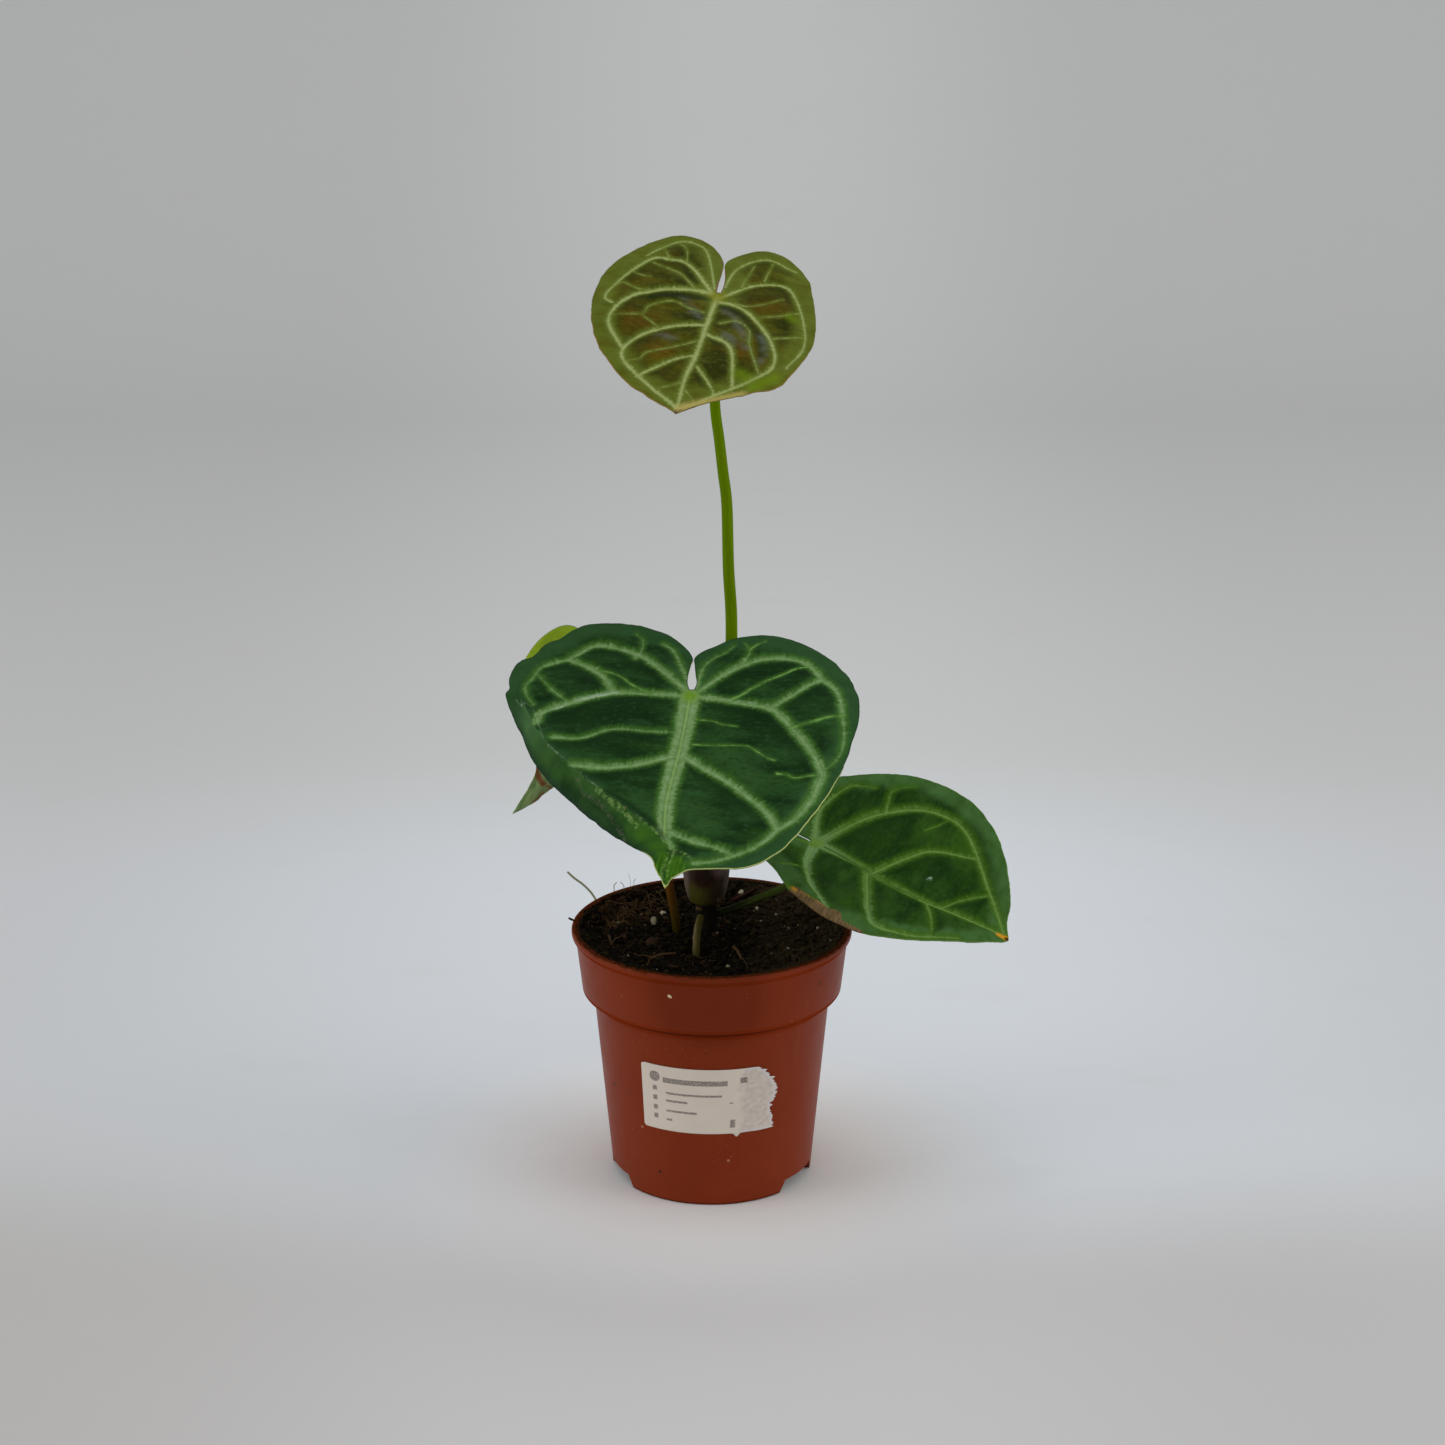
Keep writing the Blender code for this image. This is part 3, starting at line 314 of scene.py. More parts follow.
# Painted marks on a blade, by kind: (half width, points)
MARKS = {
    "main": {
        "shadow": (
            (1.5, ((-25, 56), (-17, 60.8), (-11.6, 64.6), (-7, 68.3), (-3.5, 72), (0, 76))),
            (1.2, ((4, 83), (9, 84.5), (14, 84.5))),
            (1.0, ((-46, 45), (-38, 51.5), (-30, 58.5), (-22, 66), (-17, 72))),
        ),
        "lime": (
            (0.6, ((-30, 54), (-26, 57.5), (-22, 60.8))),
            (0.8, ((-22, 60.8), (-18, 64), (-14, 68), (-11, 71.5))),
            (0.4, ((-12, 67), (-5.7, 72), (-1, 76.5), (4.2, 82))), (0.5, ((4.7, 82), (9, 84), (14.3, 88))),
            (0.5, ((3.4, 84), (2.2, 90), (2.4, 95))), (0.4, ((5.6, 84), (4.6, 89), (4.4, 94))),
        ),
        # Painted highlights: pale silvery lines along the first left vein, the fold's start and the first
        # right vein.
        "silver_highlight": (
            (0.6, ((-54.3, 11.7), (-48, 7.2), (-43, 4.6), (-37.3, 1.8), (-30, -0.6))),
            (0.05, ((-72.3, 4.8), (-68.5, 8.5), (-63.8, 11.4), (-60, 20), (-55.3, 29.4), (-48.7, 36.3),
                 (-40, 44), (-27, 56))),
            (0.15, ((2, -1.2), (14, 0.4), (24, 1.9), (33, 3.8))),
        ),
        "scuff": (
            (0.5, ((-40, 46.5), (-36.5, 51.5), (-32, 55.5), (-27.5, 59.5), (-22, 66), (-18, 71),
                 (-15.5, 75))),
        ),
        # Painted shade: a dark line in the crease along the tip's midrib.
        "groove_shade": ((0.3, ((4.7, 82), (3.9, 88), (3.4, 94))),),
        # Painted shade: deep patches, as on the panel below the first left vein.
        "dusk": (
            (9, ((-45, 16), (-33, 12), (-22, 10))), (5, ((-36, 30), (-22, 33))), (6, ((22, 8), (32, 18))),
        ),
        "lift": ((6, ((8, 62), (16, 70))), (5, ((20, 34), (33, 46))), (4, ((-12, 60), (-6, 66)))),
        "dried": ((0.3, ((-17.2, 63.7), (-15.8, 64.3))), (0.1, ((-22, 59.6), (-21.5, 60)))),
    },
    "top": {
        "shadow": (
            (1.3, ((3, 6), (9, 7.5), (15, 11), (22, 19), (25, 28))), (1.0, ((-3, 3), (-15, 4.5), (-26, 9))),
        ),
        "glow": ((2.2, ((19, 40), (22, 41))), (1.6, ((31, 3), (33, 4))), (2.5, ((26, 45), (33, 38)))),
        # Painted reflections: blue-grey glossy sheen beside the veins.
        "gloss": (
            (0.7, ((5, 8), (9, 10), (12, 13))), (1.0, ((11, 13.5), (15.5, 19), (18, 25))),
            (1.3, ((22.5, 17), (25.5, 24), (25.5, 31))), (1.1, ((-12.5, 6), (-8.2, 10.5), (-3.5, 14.5))),
            (1.2, ((-17, 29), (-11, 29.5))), (1.6, ((7, 19), (12, 24))),
        ),
        "dusk": ((3, ((-8, 52), (-5, 58))), (3, ((7, 44), (11, 50))), (2, ((-24, 36), (-23, 41)))),
        "lift": (
            (4, ((-30, 24), (-18, 26))), (3, ((-18, 34), (-12, 38))), (3, ((16, 3), (26, -2))),
            (2, ((20, 24), (22, 30))),
        ),
        "orange": ((2.0, ((1, 64.5), (9.3, 59), (16, 55), (23, 50.5))),),
        "dried": (
            (0.35, ((12, 58.5), (6, 62.5), (-1, 66.8))), (0.8, ((0, 66), (0, 68))),
            (0.5, ((-1, -2.5), (-1.4, -8), (-1.6, -13), (-2.1, -18), (-3.2, -22))),
            (0.4, ((0.8, -2.5), (0.9, -7), (0.3, -12), (-0.8, -16))),
        ),
    },
    "right": {
        "glow": ((1.4, ((-43.5, 0.5), (-45, 4))),),
        # Painted highlights: two short pale strokes.
        "silver_highlight": ((0.3, ((7.6, 48.6), (8.6, 50.6))), (0.2, ((8.9, 48.8), (9.6, 49.8)))),
        # Painted shade: a dark line in the groove along the midrib.
        "groove_shade": ((0.4, ((-0.4, 4), (-2, 20), (-4.9, 36), (-6, 50))),),
        "dusk": ((5, ((11, 15), (24, 24))), (4, ((12, 50), (16, 52)))),
        "lift": ((6, ((34, 44), (30, 54))),),
        "dried": (
            (1.9, ((-45.2, 7.5), (-49.7, 17), (-52.6, 28), (-52, 40))), (3.0, ((-49.6, 19), (-51, 28))),
        ),
        "amber": (
            (0.5, ((-44.2, 6), (-45.6, 8.4))), (0.0, ((-45.6, 10), (-46.8, 16), (-47.8, 22))),
            (1.5, ((-2.4, 86.5), (-1, 89.8))),
        ),
        "char": ((1.1, ((-1.3, 90), (-1, 92))),),
    },
    "back": {
        "dried": (
            (1.2, ((8, 49), (4.7, 52.9), (2, 55.5))), (0.3, ((2, 55.5), (-2, 58), (0, 60), (3.3, 68))),
        ),
    },
}
# Kinds that are broken up, with the length and width of their scraps in mm
BROKEN_MARKS = {"lime": (2.2, 1.2), "scuff": (2.2, 1.2), "gloss": (9, 4), "silver_highlight": (9, 4)}
# How each kind of mark is drawn: colour, half of its soft edge in mm, raggedness in mm, greatest share
MARK_LOOKS = {
    "shadow": ((14, 36, 16), 1.6, 0.6, 0.7),
    # Painted reflections: soft blue-grey glossy sheen.
    "gloss": ((98, 106, 98), 2.6, 3.0, 0.5),
    "lime": ((122, 152, 80), 0.6, 1.8, 0.6),
    "glow": ((98, 122, 10), 2.6, 2.0, 0.6),
    # Painted highlights: pale silvery lines along veins and the fold.
    "silver_highlight": ((156, 174, 150), 0.5, 0.8, 0.8),
    "scuff": ((98, 98, 80), 0.5, 2.8, 0.4),
    "orange": ((158, 146, 80), 1.7, 2.0, 0.9),
    "dried": ((112, 88, 62), 0.35, 1.6, 0.95),
    "amber": ((196, 132, 24), 0.8, 1.2, 0.85),
    "char": ((44, 24, 12), 0.4, 0.8, 0.95),
    # Painted shade in grooves along the midrib.
    "groove_shade": ((22, 50, 14), 0.25, 0.2, 0.8),
}
# The same for broad marks under the veins: dusk is painted shade in the deep colour, lift paints parts of the
# panels lighter
PANEL_LOOKS = {"dusk": ("deep", 7.0, 8.0, 0.7), "lift": ("lift", 6.0, 9.0, 0.6)}

# Surface colours as seen in soft daylight, red, green and blue up to 255
LOOKS = {
    "main": {
        "deep": (16, 38, 14), "panel": (34, 64, 28), "streak": (46, 80, 46), "patch": (40, 72, 22),
        "margin": (42, 74, 40), "fringe": (60, 98, 36), "band": (118, 146, 98), "band_shade": (96, 128, 72),
        "line": (122, 154, 82), "thin": (104, 142, 70), "base": (96, 132, 24), "edge": (172, 180, 108),
        "lift": (46, 78, 36), "tip": (66, 108, 20), "under": (104, 134, 66), "under_vein": (136, 162, 96),
        "waver": 1.6, "teeth": 2.6, "reach": 2.4, "core": 1.7, "wide": 3.0, "shade": 0.7, "roughness": 0.42,
        "specular": 0.02,
    },
    "top": {
        "deep": (38, 42, 4), "panel": (74, 72, 10), "streak": (84, 90, 34), "patch": (90, 66, 2),
        "lift": (88, 64, 4), "margin": (88, 100, 32), "fringe": (88, 102, 34), "band": (144, 154, 96),
        "band_shade": (122, 132, 70), "line": (144, 156, 94), "thin": (120, 130, 66),
        "base": (112, 112, 22), "edge": (134, 104, 54), "under": (128, 134, 62),
        "under_vein": (150, 158, 92), "waver": 0.4, "teeth": 1.6, "reach": 2.1, "core": 1.1, "wide": 1.3,
        "shade": 0.65, "roughness": 0.3, "specular": 0.02,
    },
    "right": {
        "deep": (17, 42, 7), "panel": (40, 70, 18), "streak": (45, 77, 29), "patch": (42, 73, 9),
        "lift": (44, 76, 19), "margin": (64, 98, 50), "fringe": (54, 87, 17), "band": (86, 116, 52),
        "band_shade": (64, 95, 30), "line": (100, 130, 62), "thin": (78, 112, 40), "base": (92, 124, 44),
        "edge": (84, 112, 40), "under": (98, 128, 60), "under_vein": (128, 154, 88), "waver": 1.4,
        "teeth": 2.6, "reach": 2.7, "core": 1.4, "wide": 1.6, "shade": 0.6, "roughness": 0.4,
        "specular": 0.02,
    },
    "back": {
        "deep": (40, 72, 24), "panel": (62, 98, 40), "streak": (78, 116, 60), "patch": (70, 104, 36),
        "margin": (78, 112, 50), "fringe": (90, 126, 50), "band": (120, 148, 86),
        "band_shade": (104, 134, 66), "line": (134, 160, 98), "thin": (108, 138, 70),
        "base": (112, 142, 50), "edge": (120, 134, 66), "under": (152, 180, 44),
        "under_vein": (160, 186, 60), "waver": 0.8, "teeth": 1.4, "reach": 1.8, "core": 0.9, "wide": 1.5,
        "shade": 0.4, "roughness": 0.42, "specular": 0.06,
    },
}

# Stalks: points from the foot to the blade, foot and top radius
STALK_LEAD = 7.0
STALK_STEP = 2.5
STALKS = {
    "main": (((-5.4, 3.4, 126.4), (-5.7, 2.9, 138), (-6.6, 0.5, 155), (-8.3, -6, 182)), 2.7, 2.2),
    "top": (((0.6, 6.6, 126.4), (0.9, 7.0, 138), (4, 11, 158), (7.0, 15, 185), (8.4, 15.5, 237),
             (7.1, 15, 265), (6.4, 14.5, 292), (4.8, 14, 306), (3.2, 14, 320), (1.6, 14, 333),
             (1.2, 14, 352)), 2.9, 2.0),
    "right": (((3.2, 5.4, 114), (10.8, 3, 118), (20, 0.5, 123), (30, -0.5, 128), (38.5, 0, 135)), 1.6, 1.5),
    "back": (((-15, 9, 96), (-15, 9, 104), (-16, 10.5, 112), (-18.5, 14, 124), (-24, 23, 150),
              (-34, 34, 178)), 2.0, 1.7),
}
# Stalk colours from the foot up, and the shares of the way between which they change
STALK_COLORS = {
    "main": ((64, 74, 20), (92, 118, 30), 0, 1),
    "top": ((70, 92, 0), (88, 114, 2), 0, 1),
    "right": ((22, 24, 8), (62, 74, 28), 0.1, 0.7),
    "back": ((36, 38, 4), (80, 46, 10), 0.04, 0.26),
}
ROOT = ((-4.6, -0.6, 115), (-5.4, -4, 113.5), (-6.2, -9, 111), (-6.5, -13.5, 107.5), (-6.5, -15.5, 103),
        (-6.5, -15.8, 100), (-6.5, -15.8, 96))
ROOT_RADIUS = 1.6

# Strands that stand on the rim: points, radius
LOOSE_STRANDS = (
    (((-63.3, 33, 122.8), (-60.3, 33, 119.9), (-56.2, 33, 116.6), (-52.4, 32.5, 112.4), (-49, 30, 107)), 0.5),
    (((-42.8, 41, 108), (-43.4, 44, 112), (-42.2, 45, 113.4)), 0.2),
    (((-39.4, 42, 108), (-39.0, 44, 112), (-40.6, 44, 114)), 0.16),
    (((-36.5, 45, 109), (-36.2, 47, 113), (-37.1, 47, 117)), 0.08),
    (((-34.0, 46, 109), (-34.8, 48, 112.5), (-33.8, 48, 114)), 0.12),
)


def seen(color, share=1.0):
    """The linear surface colour, or a share of it, that looks like this one under the scene's light."""
    parts = [value / 255 for value in color]
    linear = [part / 12.92 if part <= 0.04045 else ((part + 0.055) / 1.055) ** 2.4 for part in parts]
    return (*(min(1.0, share * value / LIGHT_ON_PLANT) for value in linear), 1.0)


class Field:
    """A number, place or colour in a material's node tree. Places and sizes are in mm."""

    def __init__(self, finish, socket):
        self.finish = finish
        self.socket = socket

    def math(self, operation, other=0.0):
        return self.finish.node("ShaderNodeMath", {0: self, 1: other}, operation=operation)

    def vector_math(self, operation, other=(0, 0, 0), out=0):
        return self.finish.node("ShaderNodeVectorMath", {0: self, 1: other}, out, operation=operation)

    def __add__(self, other):
        return self.math("ADD", other)

    def __sub__(self, other):
        return self.math("SUBTRACT", other)

    def __mul__(self, other):
        return self.math("MULTIPLY", other)

    def __or__(self, other):
        """The greater of the two."""
        return self.math("MAXIMUM", other)

    def __abs__(self):
        return self.math("ABSOLUTE")

    def parts(self):
        first = self.finish.node("ShaderNodeSeparateXYZ", {0: self})
        return [Field(self.finish, socket) for socket in first.socket.node.outputs]

    def flat(self):
        """The place with its third part taken out."""
        return self.vector_math("MULTIPLY", (1, 1, 0))

    def length(self):
        return self.vector_math("LENGTH", out="Value")

    def away(self, place):
        """Distance from a fixed place."""
        return self.vector_math("SUBTRACT", place).length()

    def rise(self, low, high):
        """0 at low and 1 at high, smooth between; low may be the greater."""
        start, end = (0.0, 1.0) if low < high else (1.0, 0.0)
        inputs = {0: self, 1: min(low, high), 2: max(low, high), 3: start, 4: end}
        return self.finish.node("ShaderNodeMapRange", inputs, interpolation_type="SMOOTHSTEP")

    def grain(self, size, detail=2.0):
        """Noise between 0 and 1 at this place, whose lumps are about size long on each axis."""
        sizes = size if isinstance(size, tuple) else (size, size, size)
        scaled = self.vector_math("MULTIPLY", tuple(1 / s for s in sizes))
        return self.finish.node("ShaderNodeTexNoise", {"Vector": scaled, "Scale": 1.0, "Detail": detail})

    def swing(self, size, amount, detail=2.0):
        """Noise about zero, up to about half the amount each way."""
        return (self.grain(size, detail) - 0.5) * amount


class Finish:
    """A Principled material. A colour of three parts is one as seen, 0 to 255."""

    def __init__(self, name, roughness, specular):
        self.material = bpy.data.materials.new(name)
        self.material.use_nodes = True
        self.tree = self.material.node_tree
        self.shader = self.tree.nodes["Principled BSDF"]
        self.color = None
        self.put("Roughness", roughness)
        self.put("Specular IOR Level", specular)

    def fill(self, socket, value):
        if isinstance(value, Field):
            self.tree.links.new(value.socket, socket)
        elif socket.type == "RGBA" and len(value) == 3:
            socket.default_value = seen(value)
        else:
            socket.default_value = value

    def put(self, name, value):
        self.fill(self.shader.inputs[name], value)

    def node(self, kind, inputs, out=0, **settings):
        made = self.tree.nodes.new(kind)
        for name, value in settings.items():
            setattr(made, name, value)
        for key, value in inputs.items():
            self.fill(made.inputs[key], value)
        return Field(self, made.outputs[out])

    def number(self, name):
        return self.node("ShaderNodeAttribute", {}, "Fac", attribute_name=name)

    def vector(self, name):
        return self.node("ShaderNodeAttribute", {}, "Vector", attribute_name=name)

    def place(self):
        """The point's place in the object, in mm."""
        return self.node("ShaderNodeTexCoord", {}, "Object").vector_math("MULTIPLY", (1 / MM, 1 / MM, 1 / MM))

    def mix(self, share, under, over):
        return self.node("ShaderNodeMix", {0: share, 6: under, 7: over}, 2, data_type="RGBA")

    def base(self, share, under, over):
        """The colour that the coats lie on, between two others."""
        self.color = self.mix(share, under, over)
        self.put("Base Color", self.color)

    def coat(self, color, share, most=None):
        """A colour laid over the ones before by its share, which may be scaled by the most."""
        self.base(share if most is None else share * most, self.color, color)

    def bump(self, height, depth):
        """Relief from a height of 0 to 1 that stands for depth in mm."""
        inputs = {"Height": height, "Distance": depth * MM, "Strength": 1.0}
        self.put("Normal", self.node("ShaderNodeBump", inputs))


def new_object(name, data, *finishes):
    for finish in finishes:
        data.materials.append(finish.material)
    obj = bpy.data.objects.new(name, data)
    bpy.context.scene.collection.objects.link(obj)
    return obj


def settle(obj, slot, *nodes):
    """The piece rides on the plant and stands for these nodes, which are hidden. Its slot is not used."""
    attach(obj, "root")
    if nodes:
        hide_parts(*nodes)


def mesh_from(name, points, faces, numbers=None, vectors=None):
    """A smooth mesh from points in mm, with named values at its points."""
    mesh = bpy.data.meshes.new(name)
    mesh.from_pydata((np.asarray(points, float) * MM).tolist(), [], [tuple(map(int, f)) for f in faces])
    mesh.validate()
    mesh.shade_smooth()
    for kind, part, table in (("FLOAT", "value", numbers), ("FLOAT_VECTOR", "vector", vectors)):
        for key, values in (table or {}).items():
            made = mesh.attributes.new(key, kind, "POINT")
            made.data.foreach_set(part, np.asarray(values, np.float32).ravel())
    return mesh


def baked(obj):
    """The object's mesh with its modifiers applied, on the same object."""
    graph = bpy.context.evaluated_depsgraph_get()
    obj.data = bpy.data.meshes.new_from_object(obj.evaluated_get(graph))
    obj.modifiers.clear()
    return obj


def thicken(obj, thickness, group=None, least=1.0):
    """Gives a sheet its thickness behind its face; with a group, from the least share up to all of it."""
    solid = obj.modifiers.new("thickness", "SOLIDIFY")
    solid.thickness = thickness * MM
    solid.offset = -1
    if group:
        solid.vertex_group = group
        solid.thickness_vertex_group = least
    if len(obj.data.materials) > 1:
        solid.material_offset = 1
        solid.material_offset_rim = 2
    baked(obj)


def polar(radius, turn):
    return radius * math.cos(turn), radius * math.sin(turn)


def smooth_path(points, step):
    """Points about a step apart on a smooth curve through the given ones."""
    given = np.array(points, float)
    padded = np.vstack([2 * given[0] - given[1], given, 2 * given[-1] - given[-2]])
    found = []
    for before, start, end, after in zip(padded, padded[1:], padded[2:], padded[3:]):
        count = max(1, round(float(np.linalg.norm(end - start)) / step))
        t = (np.arange(count) / count)[:, None]
        found.append(
            0.5 * (2 * start + (end - before) * t
                   + (2 * before - 5 * start + 4 * end - after) * t ** 2
                   + (3 * start - before - 3 * end + after) * t ** 3)
        )
    return np.vstack(found + [given[-1:]])


def lengths_along(path):
    """How far along a path each of its points lies."""
    return np.concatenate([[0], np.cumsum(np.linalg.norm(np.diff(path, axis=0), axis=1))])


def path_field(points, path):
    """For flat points: the distance to a path, how far along it the nearest place lies, and its length."""
    best = np.full(len(points), np.inf)
    reached = np.zeros(len(points))
    passed = 0.0
    for start, end in zip(path, path[1:]):
        side = end - start
        length = float(np.linalg.norm(side))
        share = np.clip(((points - start) @ side) / max(length ** 2, 1e-9), 0, 1)
        gap = np.linalg.norm(points - start - share[:, None] * side, axis=1)
        nearer = gap < best
        best = np.where(nearer, gap, best)
        reached = np.where(nearer, passed + share * length, reached)
        passed += length
    return best, reached, passed


def inside_outline(points, outline):
    found = np.zeros(len(points), bool)
    for (x0, y0), (x1, y1) in zip(outline, np.roll(outline, -1, axis=0)):
        crosses = (y0 > points[:, 1]) != (y1 > points[:, 1])
        at = x0 + (points[:, 1] - y0) * (x1 - x0) / (y1 - y0 if y1 != y0 else 1e-9)
        found ^= crosses & (points[:, 0] < at)
    return found


def edge_distance(points, outline):
    return path_field(points, np.vstack([outline, outline[:1]]))[0]


def hex_grid(outline, step):
    low, high = outline.min(axis=0), outline.max(axis=0)
    rows = np.arange(low[1], high[1], step * math.sqrt(3) / 2)
    columns = np.arange(low[0], high[0], step)
    return np.array([(u + step / 2 * (k % 2), v) for k, v in enumerate(rows) for u in columns])


def triangulate(outline, lines, step):
    """Even triangles within an outline, with edges along the lines. The outline's points come first."""
    fill = hex_grid(outline, step)
    fill = fill[inside_outline(fill, outline)]
    fill = fill[edge_distance(fill, outline) > 0.55 * step]
    for line in lines:
        fill = fill[path_field(fill, line)[0] > 0.45 * step]
    count = len(outline)
    edges, kept = [], []
    for line in lines:
        line = line[inside_outline(line, outline)]
        line = line[edge_distance(line, outline) > 0.5 * step] if len(line) else line
        edges += [(count + k, count + k + 1) for k in range(len(line) - 1)]
        count += len(line)
        kept.append(line)
    flat = [Vector(p) for p in np.vstack([outline, *kept, fill])]
    ring = list(range(len(outline)))
    points, _, faces, _, _, _ = geometry.delaunay_2d_cdt(flat, edges, [ring], 1, 1e-4)
    flat = np.array([p[:] for p in points])
    faces = np.array([tuple(face) for face in faces])
    used = np.unique(faces)
    order = np.full(len(flat), -1)
    order[used] = np.arange(len(used))
    flat, faces = flat[used], order[faces]
    side, other = flat[faces[:, 1]] - flat[faces[:, 0]], flat[faces[:, 2]] - flat[faces[:, 0]]
    clockwise = side[:, 0] * other[:, 1] - side[:, 1] * other[:, 0] < 0
    faces[clockwise] = faces[clockwise][:, [0, 2, 1]]
    return flat, faces


def lumps(points, sizes, seed):
    """Smooth noise from -1 to 1 at each point, with lumps of the given size on each axis."""
    scaled = np.zeros((len(points), 3))
    scaled[:, : points.shape[1]] = points / np.asarray(sizes, float)
    scaled[:, 2] += 17.3 * seed
    return np.array([noise.noise(Vector(p)) for p in scaled])


def ring_faces(rings, sides):
    """Four-sided faces between rings of points that follow each other."""
    faces = []
    for ring in range(rings - 1):
        for k in range(sides):
            a, b = ring * sides + k, ring * sides + (k + 1) % sides
            faces.append((a, b, b + sides, a + sides))
    return faces


def tube(points, radii, sides):
    """Rings round a path, closed at both ends: points, faces, distance along and round, share of the way."""
    points = np.asarray(points, float)
    heading = np.gradient(points, axis=0)
    heading /= np.linalg.norm(heading, axis=1)[:, None]
    side = np.cross(heading[0], (0.0, 0.0, 1.0))
    if np.linalg.norm(side) < 1e-3:
        side = np.array((1.0, 0.0, 0.0))
    passed = lengths_along(points)
    found, skin = [], []
    for place, ahead, radius, reach in zip(points, heading, radii, passed):
        side = side - (side @ ahead) * ahead
        side /= np.linalg.norm(side)
        other = np.cross(ahead, side)
        for k in range(sides):
            right, up = polar(radius, math.tau * k / sides)
            found.append(place + right * side + up * other)
            skin.append((reach, right, up))
    faces = ring_faces(len(points), sides)
    count = len(found)
    found += [points[0], points[-1]]
    skin += [(0, 0, 0), (passed[-1], 0, 0)]
    last = count - sides
    for k in range(sides):
        following = (k + 1) % sides
        faces += [(count, following, k), (count + 1, last + k, last + following)]
    skin = np.array(skin)
    return np.array(found), faces, skin, skin[:, 0] / max(passed[-1], 1e-9)


def tube_object(name, parts, finish, sides):
    """One mesh of one or more tubes. A part is (points, radii), where one radius may do for all."""
    all_points, all_faces, all_skin, all_shares, count = [], [], [], [], 0
    for points, radii in parts:
        found, faces, skin, shares = tube(points, np.broadcast_to(radii, len(points)), sides)
        all_points.append(found)
        all_faces += [tuple(count + k for k in face) for face in faces]
        all_skin.append(skin)
        all_shares.append(shares)
        count += len(found)
    shares, skin = {"share": np.concatenate(all_shares)}, {"skin": np.vstack(all_skin)}
    return new_object(name, mesh_from(name, np.vstack(all_points), all_faces, shares, skin), finish)


def scatter(name, places, finish, slot, subdivisions, roughness, seed):
    """One mesh of many small lumps. A place is (x, y, z, length, width, height, turn)."""
    draw = np.random.default_rng(seed)
    shape = bmesh.new()
    bmesh.ops.create_icosphere(shape, subdivisions=subdivisions, radius=1)
    ball = np.array([vert.co[:] for vert in shape.verts])
    ball_faces = np.array([[vert.index for vert in face.verts] for face in shape.faces])
    shape.free()
    points, faces, shades = [], [], []
    for number, (x, y, z, length, width, height, turn) in enumerate(places):
        bumps = 1 + roughness * draw.uniform(-1, 1, (len(ball), 1))
        lump = ball * bumps * (length / 2, width / 2, height / 2)
        tilt = Euler((draw.uniform(-0.5, 0.5), draw.uniform(-0.5, 0.5), turn)).to_matrix()
        points.append(lump @ np.array(tilt).T + (x, y, z))
        faces.append(ball_faces + number * len(ball))
        shades.append(np.full(len(ball), draw.random()))
    mesh = mesh_from(name, np.vstack(points), np.vstack(faces), {"shade": np.concatenate(shades)})
    settle(new_object(name, mesh, finish), slot)


def make_camera():
    data = bpy.data.cameras.new("camera")
    data.lens = CAMERA_LENS
    data.sensor_width = SENSOR
    data.clip_start = 0.05
    data.clip_end = 50
    camera = new_object("camera", data)
    camera.location = CAMERA_PLACE
    camera.rotation_euler = (math.radians(90 - CAMERA_PITCH), 0, 0)
    bpy.context.scene.camera = camera


def add_area_light(name, place, aim, size, power):
    data = bpy.data.lights.new(name, "AREA")
    data.shape = "RECTANGLE"
    data.size, data.size_y = size
    data.energy = power
    light = new_object(name, data)
    light.location = place
    light.rotation_euler = (Vector(aim) - Vector(place)).to_track_quat("-Z", "Y").to_euler()


def make_light():
    """A broad soft light overhead, a little to the right and behind, one at each side, and a pale room."""
    bpy.context.scene.view_settings.view_transform = "Standard"
    bpy.context.scene.view_settings.look = "None"
    world = bpy.data.worlds.new("room")
    world.use_nodes = True
    room = world.node_tree.nodes["Background"].inputs
    room["Color"].default_value = (0.94, 0.97, 1.0, 1)
    room["Strength"].default_value = 0.58
    bpy.context.scene.world = world
    add_area_light("overhead", (0.35, 0.15, 1.9), (0, 0.05, 0.1), (1.6, 1.2), power=6)
    for side in (-1, 1):
        add_area_light("side", (side * 1.7, -0.5, 0.6), (0, 0, 0.08), (1.0, 1.0), power=7)


